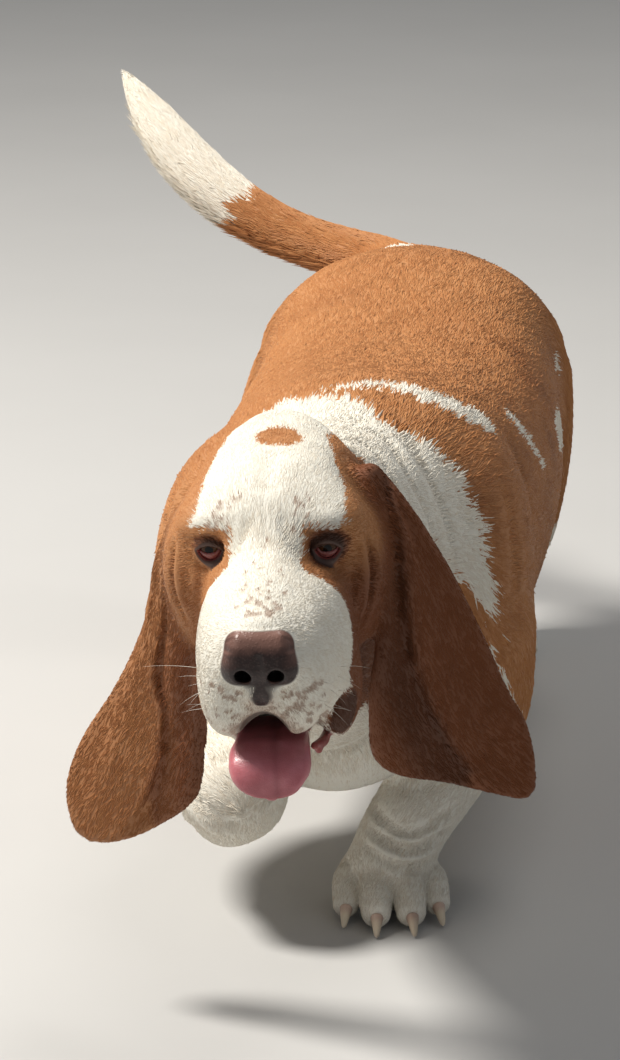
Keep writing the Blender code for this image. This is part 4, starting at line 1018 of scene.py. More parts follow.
def dark_and_shade_of(p, w):
    """0 to 1: where the brown is at its darkest: round the eyes, on the patch at the left lip, and in the ears' and
    cheeks' own deeper red, with painted shade added: the left ear and the lower cheeks darker, the left side most,
    shade in the head's creases and under the edge of each ear's upper layer, the right ear darker near the head, and
    the left flank and the sides of the throat darker.
    """
    h = to_head(p)
    m = np.abs(h) * (1, 0, 0) + h * (0, 1, 1)
    eye = ramp(np.linalg.norm((m - (34, -14, 1)) * (1, 0.8, 1.15), axis=1) + np.where(h[:, 0] > 0, 0, 4.0), 19, 9)
    # partly painted shade: the left ear much darker than the right, and the lower cheeks darker, the left one most
    ears_cheeks_and_shade = (0.26 + 0.16 * shade_under_upper_layer(p, LAYER_LINES[1], (0.86, -0.45, 0.0))) * w["ear_R"] + (0.58 + 0.20 * shade_under_upper_layer(p, LAYER_LINES[0], (-0.86, -0.43, -0.1))) * w["ear_L"] + np.where(h[:, 0] > 0, 0.55, 0.20) * w["head"] * ramp(h[:, 2], 14, -40)
    # painted shade in the head's creases and along the edge where each ear's upper layer lies over the lower one
    ears_cheeks_and_shade = ears_cheeks_and_shade + 0.16 * np.exp(-(crease_of(p) / 4.0) ** 2) * (w["ear_R"] + w["ear_L"]) + 0.16 * w["head"] * ramp(lines_effect(h, MIRRORED_LINES, True), 1.4, 4.0)
    # painted shade: the right ear darker where it hangs close to the head
    ears_cheeks_and_shade = ears_cheeks_and_shade + 0.30 * w["ear_R"] * ramp(p[:, 0], -66, -44)
    patches_and_shade = 0.16 * np.clip(waves(p, 90, 21), 0, 1) * w["trunk"]
    patches_and_shade = patches_and_shade + w["trunk"] * (0.14 * ramp(p[:, 0], 50, 110) + 0.42 * ramp(-p[:, 1], 350, 372) * ramp(np.abs(p[:, 0] - 8), 20, 32))       # painted shade: darker on the left flank and beside the throat
    drop = 0.86 * ramp(patch(h, (44, -64, -84), (12, 13, 21)), -3, 3)
    return np.clip(np.maximum(np.maximum(eye, drop), ears_cheeks_and_shade + patches_and_shade), 0, 1).astype(np.float32)


def freckles_and_lip_shade(p):
    """Ticking on the bridge of the nose, the brows and the lips, and painted shade on the lips' front below the nose: 0
    to 1.
    """
    h = to_head(p)
    out = np.zeros(len(p), np.float32)
    r = np.random.default_rng(11)
    spots = []
    for _ in range(34):
        spots.append((r.normal(0, 9.0), -101 + 30 * r.random() ** 1.8, None, r.uniform(1.1, 2.0)))
    for _ in range(16):
        spots.append((r.normal(-3, 11), r.uniform(-64, -30), None, r.uniform(0.8, 1.4)))
    for _ in range(34):
        s = r.choice((-1, 1))
        spots.append((s * r.uniform(14, 36), r.uniform(-34, -6), None, r.uniform(0.9, 1.8)))
    for _ in range(120):
        s = r.choice((-1, 1, 1))
        spots.append((s * (11 + 27 * r.random() ** 1.4), 0, r.uniform(-96, -50), r.uniform(0.8, 2.0)))
    for x, y, z, size in spots:
        q = h - (x, y, 0 if z is None else z)
        if z is None:
            d = np.linalg.norm(q[:, :2], axis=1)
            ok = h[:, 2] > (-22 if abs(x) < 14 and y < -50 else 8)
        else:
            d = np.linalg.norm(q[:, [0, 2]], axis=1)
            ok = (h[:, 1] < -60) & (np.sign(h[:, 0]) == np.sign(x))
        out = np.maximum(out, np.where(ok, ramp(d, size * 1.3, size * 0.7), 0))
    d, t = line_distance(h, [(0, -112, -60), (2, -112, -72), (12, -106, -80), (17, -98, -92)])      # the lips' shaded front
    e, t = line_distance(h, [(0, -112, -60), (-3, -112, -72), (-12, -106, -80), (-16, -98, -92)])
    # painted shade: darker along the lips' front below the nose
    return np.maximum(out, 0.60 * ramp(np.minimum(d, e) + 3.0 * waves(p, 7, 61), 13.0, 6.0) * (h[:, 1] < -80))


def nose_of(p):
    """Distance outside the bare nose, in mm."""
    h = to_head(p)
    d = np.full(len(p), 90.0, np.float32)
    for f in nose_forms():
        d = smooth_min(d, f.distance(h), f.k)
    return d.astype(np.float32)


def mouth_of(p):
    """1 inside the mouth."""
    h = to_head(p)
    d = np.minimum(egg((0, -74, -96), (22.5, 52, 16.5), 0, turn=(12, 0, 0)).distance(h), egg((0, -108, -84), (13.0, 20, 12.5), 0).distance(h))
    return ramp(d, 1.2, -0.6).astype(np.float32)


def nostril_of(p):
    h = to_head(p)
    d = mirrored(egg((10.3, -121, -41.5), (4.5, 13, 4.7), 0, turn=(0, 25, 14))).distance(h)
    return (ramp(d, 0.9, 0.1) * ramp(nose_of(p), 0.3, -0.6)).astype(np.float32)


def lip_of(p):
    """1 at the bare edge of the lips."""
    h = to_head(p)
    d = np.minimum(egg((0, -74, -96), (22.5, 52, 16.5), 0, turn=(12, 0, 0)).distance(h), egg((0, -108, -84), (13.0, 20, 12.5), 0).distance(h))
    return (ramp(d, 4.2, 1.4) * ramp(h[:, 1], 0, -20)).astype(np.float32)


def eye_marks(p):
    """Pink inside the lids, and the dark rims."""
    pink = np.zeros(len(p), np.float32)
    rim = np.zeros(len(p), np.float32)
    for side in "LR":
        centre = from_head([EYES[side]])[0]
        near = np.flatnonzero(np.linalg.norm(p - centre, axis=1) < EYE_R + 9)
        if not len(near):
            continue
        r, a, b = eye_angles(side, to_head(p[near]) - np.array(EYES[side], np.float32))
        inside = lid_opening(side, a, b) * (math.pi / 180) * EYE_R
        rim[near] = np.maximum(rim[near], ramp(inside, -2.6, -1.2))
        low = ramp(b, 4, -8)
        pink[near] = np.maximum(pink[near], ramp(inside, -1.5, -0.7) * low * ramp(r, EYE_R + 3.2, EYE_R + 2.2))
    h = to_head(p)
    corner = np.minimum(limb([(28, -82, -102, 3.4), (32, -66, -106, 4.4), (33, -52, -108, 4.0)], 3, 7).distance(h), egg((30, -76, -106), (3.4, 4.2, 3.4)).distance(h))
    pink = np.maximum(pink, ramp(corner, 2.8, 1.0))
    return pink, rim


normals = vertex_normals(points, triangles)
weights = group_weights(points)
flow = lie_of_coat(points, normals, weights)
white = white_of(points, weights)
dark = dark_and_shade_of(points, weights)
ticks_and_lip_shade = freckles_and_lip_shade(points)
nose = ramp(nose_of(points), 1.0, 0.2)
mouth = mouth_of(points)
nostril = nostril_of(points)
lip = lip_of(points) * (1 - mouth)
pink, rim = eye_marks(points)


def colour_layer(obj, name, *channels):
    layer = obj.data.attributes.new(name, "FLOAT_COLOR", "POINT")
    data = np.ones((len(obj.data.vertices), 4), np.float32)
    for i, c in enumerate(channels):
        data[:, i] = c
    layer.data.foreach_set("color", data.ravel())


skin = mesh_object("skin", points, triangles, 3)
# white, darkness with painted shade, and ticking with the lips' painted shade
colour_layer(skin, "markings_and_shade", np.clip(white / 16 + 0.5, 0, 1), dark, 0.5, ticks_and_lip_shade)
colour_layer(skin, "strand", np.clip(normals[:, 2], 0, 1), nostril, 0.5)      # red: how far it faces upward, for the nose's painted top light; green: nostril
colour_layer(skin, "flesh", np.maximum(nose, nostril), mouth * (1 - nostril), pink, np.maximum(lip * 0.8, rim))
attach(skin, "root")
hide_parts("trunk", "neck", "head", "nose", "tail", "ear_L", "ear_R", "foreleg_L", "foreleg_R", "forepaw_L", "forepaw_R",
            "hindleg_L", "hindleg_R", "hindpaw_L", "hindpaw_R")

# ---- the coat ---------------------------------------------------------------
bare = np.clip(nose + mouth + nostril + lip * 1.6 + pink + ramp(rim, 0.3, 0.8), 0, 1)
h_all = to_head(points)
from_nose = np.linalg.norm(h_all - (0, -112, -38), axis=1)
on_face = weights["head"]
on_ear = weights["ear_L"] + weights["ear_R"]
on_leg = weights["fore_L"] + weights["fore_R"] + weights["hind_L"] + weights["hind_R"]
on_foot = on_leg * ramp(points[:, 2], 95, 55)
on_foot = np.maximum(on_foot, weights["fore_R"] * ramp(points[:, 1], -235, -262) * ramp(points[:, 2], 108, 96))
on_tail = weights["tail"]
on_trunk = weights["trunk"]
on_neck = on_trunk * ramp(points[:, 1], -215, -250)

ear_edge = on_ear * ramp(1 - np.abs(normals @ np.array([0.5, -0.86, 0.05])) * (points[:, 0] > 0) - np.abs(normals @ np.array([-0.5, -0.86, 0.05])) * (points[:, 0] <= 0), 0.35, 0.75)
length = 13.0 * on_trunk + 4.6 * on_face + 8.0 * on_ear + 8.0 * on_leg + 14.0 * on_tail
rim_places = points[ear_edge > 0.5]
near_edge = np.zeros(len(points), np.float32)
ear_places = np.flatnonzero(on_ear > 0.5)
for k in range(0, len(ear_places), 3000):
    some = ear_places[k:k + 3000]
    gap = ((points[some][:, None, :] - rim_places[None, ::2, :]) ** 2).sum(2).min(1) ** 0.5
    near_edge[some] = ramp(gap, 10, 3)
length = length * (1 - 0.58 * near_edge) * (1 - 0.36 * on_foot) * (1 - 0.42 * on_face * ramp(from_nose, 95, 30))
length = length + 4.0 * on_trunk * ramp(np.abs(white), 9, 2) * ramp(points[:, 1], -160, -200)      # the collar's shaggy edge
under_tail = on_tail * ramp(normals[:, 2], -0.1, -0.7)
length = length * (1 - 0.55 * on_tail * ramp(points[:, 0], -262, -276)) + 13 * under_tail * ramp(points[:, 0], -274, -256)
length = length - 3.5 * on_neck * on_trunk * ramp(np.abs(white), 5, 11)
rump = (on_trunk + on_tail * ramp(points[:, 0], -60, -35)) * ramp(points[:, 1], 300, 345) * ramp(normals[:, 1], 0.3, 0.7)
length = length * (1 - 0.38 * rump)      # the round rump, where a long straight tuft would dip under the skin
fringe_R = weights["fore_R"] * ramp(normals[:, 2], -0.2, -0.7) * ramp(points[:, 2], 88, 100)
length = length + 6 * fringe_R
width = length * 0.165 + 0.35
spacing = (2.30 - 0.35 * on_neck) * on_trunk + 1.18 * on_face + 1.80 * on_ear + 1.62 * on_leg + 2.05 * on_tail
spacing = spacing * (1 - 0.20 * on_foot) * (1 - 0.16 * on_face * ramp(from_nose, 95, 30))
density = (1 - bare) / spacing ** 2
tip_height = 0.42 * on_trunk + 0.10 * on_face + 0.22 * on_ear + 0.30 * on_leg + 0.50 * on_tail
tip_height = tip_height * (1 - 0.6 * near_edge) * (1 - 0.4 * on_neck) + 3.6 * under_tail * ramp(points[:, 0], -274, -256) + 0.8 * fringe_R + 0.55 * rump


def grow(name, chosen, unwrap):
    """One piece of coat: tufts rooted at random over the chosen triangles of the skin. Each is a closed blade
    with a ridge, bent to lie along the body."""
    tri = triangles[chosen]
    a, b, c = (points[tri[:, i]] for i in range(3))
    area = np.linalg.norm(np.cross(b - a, c - a), axis=1) / 2
    want = area * density[tri].mean(1)
    count = int(want.sum() * (1.0))
    if count < 10:
        return None
    count = min(count, 49000)
    pick = rng.choice(len(tri), count, p=want / want.sum())
    u, v = rng.random(count), rng.random(count)
    flip = u + v > 1
    u, v = np.where(flip, 1 - u, u), np.where(flip, 1 - v, v)
    bary = np.stack([1 - u - v, u, v], 1)

    def mix(values):
        picked = values[tri[pick]]
        return (picked * (bary[:, :, None] if picked.ndim == 3 else bary)).sum(1)

    root, n, t = mix(points), unit(mix(normals)), mix(flow)
    t = t - n * (t * n).sum(1)[:, None]
    t = unit(t)
    side = np.cross(n, t)
    swing = (rng.normal(0, 0.17, count) + 0.16 * waves(root, 26, 31)) * (1 - 0.4 * mix(on_face))
    t = unit(t * np.cos(swing)[:, None] + side * np.sin(swing)[:, None])
    side = np.cross(n, t)
    long = mix(length) * rng.uniform(0.70, 1.25, count)
    wide = mix(width) * rng.uniform(0.75, 1.25, count)
    loose = np.where(rng.random(count) < 0.05, rng.uniform(1.5, 4.0, count), rng.uniform(0.4, 1.4, count))
    high = np.minimum(mix(tip_height) * loose, np.maximum(coat_depth(root) * 0.9, 0.35) + 3.0 * mix(under_tail))
    tip = root + t * long[:, None] + n * high[:, None]
    tip -= n * np.clip(skin_field(tip) - high, -5, 5)[:, None]
    base = root + t * (0.10 * long)[:, None] - n * (0.12 + 0.02 * long)[:, None]
    ridge = root + (tip - root) * 0.36 + n * (0.10 + 0.085 * wide)[:, None]
    verts = np.stack([base + side * (0.5 * wide)[:, None], base - side * (0.5 * wide)[:, None], ridge, tip], 1)
    faces = np.array([(1, 0, 2), (0, 3, 2), (3, 1, 2), (0, 1, 3)])
    verts[:, :, 2] = np.maximum(verts[:, :, 2], 0.15)
    flat = verts.reshape(-1, 3)
    polygons = (np.arange(count)[:, None, None] * 4 + faces[None]).reshape(-1, 3)
    first = verts[:400].astype(float)
    volume = sum(np.einsum("ij,ij->i", first[:, f[0]] - first[:, 2], np.cross(first[:, f[1]] - first[:, 2], first[:, f[2]] - first[:, 2])).sum() for f in faces)
    if volume < 0:
        polygons = polygons[:, ::-1]
    obj = mesh_object(name, flat, polygons, 3)
    obj.data.polygons.foreach_set("use_smooth", np.zeros(len(polygons), bool))
    edge = mix(white) + rng.normal(0, 1.0, count)
    is_white = np.where(edge > 0, 1.0, 0.0)
    tone = np.clip(0.5 + 0.16 * rng.normal(size=count) + 0.20 * waves(root, 16, 41), 0, 1)
    # ticking, and the lips' painted shade, on whole tufts
    tick_and_lip_shade = (mix(ticks_and_lip_shade) > rng.uniform(0.25, 0.6, count)) * 1.0
    colour_layer(obj, "markings_and_shade", np.repeat(is_white, 4), np.repeat(mix(dark), 4), np.repeat(tone, 4), np.repeat(tick_and_lip_shade, 4))
    colour_layer(obj, "flesh", np.zeros(count * 4), np.zeros(count * 4), np.zeros(count * 4), np.repeat(mix(lip) * 0.5, 4))
    colour_layer(obj, "strand", np.tile([0.0, 1.0, 0.5, 0.5], count), np.tile([0.0, 0.0, 0.36, 1.0], count), np.repeat(rng.random(count), 4))
    uv = obj.data.uv_layers.new(name="OFBake")
    centre = np.clip(unwrap(root), 0.004, 0.996)
    patch_uv = np.array([(-1, -1), (1, -1), (0, -0.1), (0, 1)]) * 0.0015
    each = (centre[:, None, :] + patch_uv[None]).reshape(-1, 2)
    uv.data.foreach_set("uv", each[polygons.ravel()].astype(np.float32).ravel())
    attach(obj, "root")
    coats.append(obj)
    return obj


def around(axis_x, axis_z, y0, y1):
    """An unwrap of a barrel along Y: the angle round it, and the place along it."""
    def place(p):
        angle = np.arctan2(p[:, 0] - axis_x, p[:, 2] - axis_z) / (2 * math.pi) + 0.5
        return np.stack([angle, (p[:, 1] - y0) / (y1 - y0)], 1)
    return place


def around_line(line, up=(0, 0, 1)):
    """An unwrap of a limb or tail: the angle round its line, and the place along it."""
    line = np.asarray(line, np.float32)[:, :3]

    def place(p):
        d, s = line_distance(p, line)
        direction = along_line(p, line)
        a = unit(np.cross(direction, np.tile(np.array([[1.0, 0.2, 0.1]]), (len(p), 1))))
        b = np.cross(direction, a)
        t = s * (len(line) - 1)
        length = np.r_[0, np.cumsum(np.linalg.norm(np.diff(line, axis=0), axis=1))]
        at = np.stack([np.interp(s * length[-1], length, line[:, k]) for k in range(3)], 1)
        q = p - at
        return np.stack([np.arctan2((q * b).sum(1), (q * a).sum(1)) / (2 * math.pi) + 0.5, 0.05 + 0.9 * s], 1)
    return place


def around_head(p):
    h = to_head(p)
    angle = np.arctan2(h[:, 0], h[:, 2] + 38) / (2 * math.pi) + 0.5
    return np.stack([angle, (h[:, 1] + 130) / 250], 1)


def both_sides_of(line):
    """An unwrap of an ear: its outer side and its inner side next to each other."""
    line = np.asarray(line, np.float32)

    def place(p):
        d, s = line_distance(p, line[:, :3])
        k = np.clip(s * (len(line) - 1), 0, len(line) - 1.001)
        at = np.stack([np.interp(k, np.arange(len(line)), line[:, i]) for i in range(3)], 1)
        near = unit(np.stack([np.interp(k, np.arange(len(line)), line[:, i]) for i in (5, 6, 7)], 1))
        out = np.cross(along_line(p, line), near)
        q = p - at
        u = (q * near).sum(1) / 160 + 0.5
        face = (q * out).sum(1) > 0
        return np.stack([np.where(face, 0.02 + 0.46 * u, 0.52 + 0.46 * u), 0.05 + 0.9 * s], 1)
    return place


coats = []
middles = points[triangles].mean(1)
owner_names = list(GROUPS)
owner = np.argmax(np.stack([weights[n] for n in owner_names]), 0)[triangles[:, 0]]
mh = to_head(middles)


def own(*names):
    return np.isin(owner, [owner_names.index(n) for n in names])


LEG_LINES = {"fore_L": [(92, -168, 175), (98, -160, 126), (78, -196, 86), (55, -224, 54), (45, -236, 30), (38, -275, 10)],
             "fore_R": [(-92, -168, 178), (-104, -178, 138), (-97, -236, 113), (-66, -296, 105), (-65, -288, 86), (-64, -262, 74), (-64, -210, 62)],
             "hind_R": [(-64, 232, 258), (-88, 172, 205), (-98, 132, 164), (-103, 150, 116), (-100, 170, 84), (-100, 144, 48), (-100, 110, 26), (-108, 60, 10)],
             "hind_L": [(62, 244, 255), (78, 208, 200), (82, 204, 152), (76, 258, 122), (68, 330, 104), (61, 350, 80), (58, 344, 46), (57, 325, 26), (63, 275, 10)]}
trunk = own("trunk")
for i, (y0, y1) in enumerate(((-480, -300), (-300, -190), (-190, -60), (-60, 70), (70, 200), (200, 420))):
    for j, sidewise in enumerate((middles[:, 0] <= 8, middles[:, 0] > 8)):
        chosen = np.flatnonzero(trunk & sidewise & (middles[:, 1] > y0) & (middles[:, 1] <= y1))
        if len(chosen):
            grow("coat_trunk_%s%d" % ("RL"[j], i + 1), chosen, around(8, 230, y0, y1))
head_tris = own("head")
for i, (y0, y1) in enumerate(((-130, -62), (-62, -12), (-12, 160))):
    for j, sidewise in enumerate((mh[:, 0] <= 0, mh[:, 0] > 0)):
        chosen = np.flatnonzero(head_tris & sidewise & (mh[:, 1] > y0) & (mh[:, 1] <= y1))
        if len(chosen):
            grow("coat_head_%s%d" % ("RL"[j], i + 1), chosen, around_head)
grow("coat_ear_R", np.flatnonzero(own("ear_R")), both_sides_of(EAR_R))
grow("coat_ear_L", np.flatnonzero(own("ear_L")), both_sides_of(EAR_L))
grow("coat_tail", np.flatnonzero(own("tail")), around_line(TAIL))
for leg, line in LEG_LINES.items():
    grow("coat_" + leg, np.flatnonzero(own(leg)), around_line(line))
print("tufts", sum(len(o.data.polygons) for o in coats) // 4, "coat triangles", sum(len(o.data.polygons) for o in coats))

# ---- eyes, claws, tongue, whiskers ------------------------------------------
def array_piece(name, points, polygons, sides, slot, *nodes):
    obj = mesh_object(name, points, outward(points, polygons), sides)
    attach(obj, "root")
    if nodes:
        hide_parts(*nodes)
    return obj


def ball_grid(rings, segments):
    """Points of a ball with its pole along +Z, and its triangles."""
    pts = [(0.0, 0.0, 1.0)]
    for i in range(1, rings):
        a = math.pi * i / rings
        for j in range(segments):
            b = 2 * math.pi * j / segments
            pts.append((math.sin(a) * math.cos(b), math.sin(a) * math.sin(b), math.cos(a)))
    pts.append((0.0, 0.0, -1.0))
    last = len(pts) - 1
    tri = []
    for j in range(segments):
        k = (j + 1) % segments
        tri.append((0, 1 + j, 1 + k))
        for i in range(rings - 2):
            a, b, c, d = 1 + i * segments + j, 1 + i * segments + k, 1 + (i + 1) * segments + j, 1 + (i + 1) * segments + k
            tri += [(a, c, d), (a, d, b)]
        base = 1 + (rings - 2) * segments
        tri.append((base + j, last, base + k))
    return np.array(pts, np.float32), np.array(tri)


eyes = []
for side, centre in EYES.items():
    g, across, up = eye_axes(side)
    pts, tri = ball_grid(48, 64)
    angle = np.degrees(np.arccos(np.clip(pts[:, 2], -1, 1)))
    turned = np.degrees(np.arctan2(pts[:, 1], pts[:, 0]))
    bulge = 0.95 * ramp(angle, 40, 22)                       # the cornea stands out of the ball
    shell = pts * (EYE_R - 0.15 + bulge)[:, None]
    where = np.array(centre) + shell[:, :1] * across + shell[:, 1:2] * up + shell[:, 2:] * g
    eye = array_piece("eyeball_" + side, from_head(where), tri, 3, "eye", "eye_" + side)
    colour_layer(eye, "iris", angle / 90.0, turned / 360.0 + 0.5, 0.5)
    eyes.append(eye)

haws = []
for side, centre in EYES.items():
    g, across, up = eye_axes(side)
    inward = -across if side == "L" else across
    rows, cols = 14, 44
    pts = []
    for layer_radius in (EYE_R + 0.75, EYE_R - 0.5):
        for r in range(rows):
            for c in range(cols):
                a = -50 + 95.0 * c / (cols - 1)                       # from the outer to the inner corner
                top = -8.5 + 0.006 * (a - 2) ** 2 * (1 if a < 20 else 1.5) + (3.0 if side == "R" else 0.0) * math.exp(-((a - 12) / 13.0) ** 2)
                top = top + 10.0 * max(0.0, min(1.0, (a - 18) / 14.0))
                b = top - (1 - r / (rows - 1.0)) * (top + 62)
                lift = -0.55 * max(0.0, 1 - (top - b) / 3.5) if layer_radius > EYE_R else 0.0
                a2, b2 = math.radians(a), math.radians(b)
                d = g * math.cos(a2) * math.cos(b2) + inward * math.sin(a2) * math.cos(b2) + up * math.sin(b2)
                bulge = 0.95 * float(ramp(np.array(math.degrees(math.acos(max(-1, min(1, float(d @ g)))))), 40, 22))
                pts.append(np.array(centre) + d * (layer_radius + lift + bulge))
    tri, half_n = [], rows * cols
    for r in range(rows - 1):
        for c in range(cols - 1):
            a, b, d, e = r * cols + c, r * cols + c + 1, (r + 1) * cols + c, (r + 1) * cols + c + 1
            tri += [(a, b, e), (a, e, d), (a + half_n, e + half_n, b + half_n), (a + half_n, d + half_n, e + half_n)]
    loop = [c for c in range(cols)] + [r * cols + cols - 1 for r in range(1, rows)] + [(rows - 1) * cols + c for c in range(cols - 2, -1, -1)] + [r * cols for r in range(rows - 2, 0, -1)]
    for i in range(len(loop)):
        a, b = loop[i], loop[(i + 1) % len(loop)]
        tri += [(b, a, a + half_n), (b, a + half_n, b + half_n)]
    haw_piece = array_piece("haw_" + side, from_head(np.array(pts)), np.array(tri), 3, "eye")
    haws.append(haw_piece)

claw_pieces = []
for foot, stance in (("fore_L", LF_PAW), ("fore_R", RF_PAW), ("hind_R", RH_PAW + (0.9,)), ("hind_L", LH_PAW + (0.9,))):
    for i, (root, aim, size) in enumerate(claws(*stance)):
        aim = np.asarray(aim, float)
        side = np.cross(aim, (0, 0, 1.0))
        side /= np.linalg.norm(side)
        over = np.cross(side, aim)
        pts, rows, cols = [], 15, 16
        for r in range(rows):
            s = r / (rows - 1.0)
            mid = np.asarray(root) + aim * (14.0 * size * s) + np.array([0, 0, -3.2 * size * s * s])
            rad = size * (4.9 * (1 - s) ** 0.34 * (1 - 0.34 * s) + 0.5) * (1 - 0.12 * (s < 0.05))
            for c in range(cols):
                a = 2 * math.pi * c / cols
                under = 1.0 - 0.22 * max(0.0, -math.sin(a)) - 0.10 * abs(math.sin(a))
                pts.append(mid + side * rad * 0.88 * math.cos(a) + over * rad * under * 1.06 * math.sin(a))
        tri = []
        for r in range(rows - 1):
            for c in range(cols):
                k = (c + 1) % cols
                a, b, d, e = r * cols + c, r * cols + k, (r + 1) * cols + c, (r + 1) * cols + k
                tri += [(a, b, e), (a, e, d)]
        pts += [np.asarray(root) - aim * 0.6 * size, pts[-cols] * 0 + mid + aim * 0.5 * size]
        for c in range(cols):
            k = (c + 1) % cols
            tri += [(len(pts) - 2, k, c), (len(pts) - 1, (rows - 1) * cols + c, (rows - 1) * cols + k)]
        pts = np.array(pts)
        pts[:, 2] = np.maximum(pts[:, 2], 0.2)
        piece = array_piece("nail_%s_%d" % (foot, i + 1), pts, np.array(tri), 3, "horn", "claw_%s_%d" % (foot, i + 1))
        s = np.r_[np.repeat(np.arange(rows) / (rows - 1.0), cols), 0, 1]
        colour_layer(piece, "along", s, 0.5 + 0.5 * math.sin(7.3 * i + len(foot)), 0.5)
        claw_pieces.append(piece)

pts, quads = surface([tongue_form()], (-60, -680, 120), (100, -480, 320), 1.3, floor=False)
quads = outward(pts, quads)
pts = pts.astype(np.float32)
tri = np.concatenate([quads[:, [0, 1, 2]], quads[:, [0, 2, 3]]])
for _ in range(4):                                            # sit on the leaf, then smooth
    n = vertex_normals(pts, tri)
    pts = pts - n * np.clip(tongue_form().distance(pts), -1, 1)[:, None]
ht = to_head(pts)
n = vertex_normals(pts, tri)
mid_line = np.interp(ht[:, 1], [-109, -104, -94, -74, -36], [7, 6, 5, 4, 2])
groove = 0.9 * np.exp(-((ht[:, 0] - mid_line) / 3.0) ** 2) * ramp(n[:, 2] - 0.6 * n[:, 1], -0.1, 0.35) * ramp(ht[:, 2], -124, -112)
soft = 0.5 * waves(pts, 17, 51, 2)
pts = pts - n * (groove + 0.25 + 0.22 * soft)[:, None]
tongue = array_piece("tongue_flesh", pts, quads, 4, "tongue_skin", "tongue")
# green: the middle groove, for its painted shade
colour_layer(tongue, "wet", np.clip((ht[:, 1] + 112) / 60, 0, 1), np.clip(np.exp(-((ht[:, 0] - mid_line) / 2.4) ** 2), 0, 1), np.clip((ht[:, 2] + 124) / 30, 0, 1))

hairs_p, hairs_t = [], []


def hair(root, aim, long, droop, thick=0.26):
    """One whisker: a thin tapering stalk, three-sided."""
    aim = np.asarray(aim, float)
    aim /= np.linalg.norm(aim)
    a = np.cross(aim, (0.31, 0.2, 0.93))
    a /= np.linalg.norm(a)
    b = np.cross(aim, a)
    start = len(hairs_p)
    rows = 7
    for r in range(rows):
        s = r / (rows - 1.0)
        mid = np.asarray(root) + aim * long * s + np.array([0, 0, -droop * s * s])
        for c in range(3):
            w = thick * (1 - 0.86 * s)
            t = 2 * math.pi * c / 3
            hairs_p.append(mid + (a * math.cos(t) + b * math.sin(t)) * w)
    for r in range(rows - 1):
        for c in range(3):
            k = (c + 1) % 3
            i = start + r * 3
            hairs_t.append((i + c, i + k, i + 3 + k))
            hairs_t.append((i + c, i + 3 + k, i + 3 + c))
    end = start + (rows - 1) * 3
    hairs_t.append((start, start + 2, start + 1))
    hairs_t.append((end, end + 1, end + 2))


def on_skin(h, toward):
    """Where a line from a point of the head's frame, along a direction, leaves the skin."""
    toward = np.asarray(toward, float) / np.linalg.norm(toward)
    steps = np.linspace(0, 60, 241)
    line = from_head(np.asarray(h, float) + steps[:, None] * toward)
    d = skin_field(line)
    inside = np.flatnonzero(d < 0)
    return line[inside[-1]] if len(inside) else line[0]


hair_rng = np.random.default_rng(23)
for s in (-1, 1):
    for row, (hy, hz) in enumerate(((-92, -52), (-84, -60), (-76, -54), (-88, -68), (-70, -66), (-96, -62), (-78, -74))):
        root = on_skin((0, hy, hz), (s, -0.25, 0))
        aim = np.array([s * 1.0, -0.25 + 0.5 * hair_rng.random(), -0.15 + 0.35 * hair_rng.normal()]) @ HEAD.T
        hair(root, aim, hair_rng.uniform(9, 19), hair_rng.uniform(1, 5), 0.20)
    hair(on_skin((0, -74, -50), (s, -0.2, 0)), np.array([s * 1.0, 0.15, 0.10]) @ HEAD.T, 34 if s < 0 else 18, 4, 0.24)
    for hx, hz in ((28, 18), (34, 17)):
        hair(on_skin((s * hx, 0, 8), (0, -1, 0.6)), np.array([s * 0.3, -0.8, 0.6]) @ HEAD.T, hair_rng.uniform(9, 14), 2, 0.24)
for hx in (-14, -5, 5, 13):
    hair(on_skin((hx, -50, -110), (0, -0.5, -1)), np.array([hx * 0.03, -0.5, -1]) @ HEAD.T, hair_rng.uniform(7, 12), 1, 0.24)
whiskers = mesh_object("whiskers", np.array(hairs_p), np.array(hairs_t), 3)
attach(whiskers, "root")

# ---- materials --------------------------------------------------------------
def material(name):
    m = bpy.data.materials.new(name)
    m.use_nodes = True
    nodes = m.node_tree.nodes
    return m, nodes, m.node_tree.links, nodes["Principled BSDF"]


def put(node_input, value, links):
    if hasattr(value, "is_output"):
        links.new(value, node_input)
    else:
        node_input.default_value = value


def maths(nodes, links, kind, a, b=0.0, clamp=False):
    n = nodes.new("ShaderNodeMath")
    n.operation = kind
    n.use_clamp = clamp
    put(n.inputs[0], a, links)
    put(n.inputs[1], b, links)
    return n.outputs[0]


def mixed(nodes, links, factor, a, b):
    n = nodes.new("ShaderNodeMix")
    n.data_type = "RGBA"
    put(n.inputs["Factor"], factor, links)
    put(n.inputs["A"], (*a, 1.0) if isinstance(a, tuple) else a, links)
    put(n.inputs["B"], (*b, 1.0) if isinstance(b, tuple) else b, links)
    return n.outputs["Result"]


def ramped(nodes, links, value, low, high):
    n = nodes.new("ShaderNodeMapRange")
    n.interpolation_type = "SMOOTHSTEP"
    put(n.inputs["Value"], value, links)
    n.inputs["From Min"].default_value = low
    n.inputs["From Max"].default_value = high
    return n.outputs["Result"]


def noise(nodes, links, place, scale, detail=3.0, rough=0.55):
    n = nodes.new("ShaderNodeTexNoise")
    links.new(place, n.inputs["Vector"])
    n.inputs["Scale"].default_value = scale
    n.inputs["Detail"].default_value = detail
    n.inputs["Roughness"].default_value = rough
    return n.outputs["Fac"]


def layer(nodes, name):
    n = nodes.new("ShaderNodeAttribute")
    n.attribute_name = name
    return n


def channels(nodes, links, colour):
    n = nodes.new("ShaderNodeSeparateColor")
    links.new(colour, n.inputs["Color"])
    return n.outputs["Red"], n.outputs["Green"], n.outputs["Blue"]


LIGHT_TAN, TAN, DEEP, DARK = (0.51, 0.245, 0.100), (0.40, 0.165, 0.060), (0.20, 0.068, 0.026), (0.046, 0.018, 0.010)
WHITE, CREAM = (0.81, 0.785, 0.70), (0.71, 0.615, 0.47)


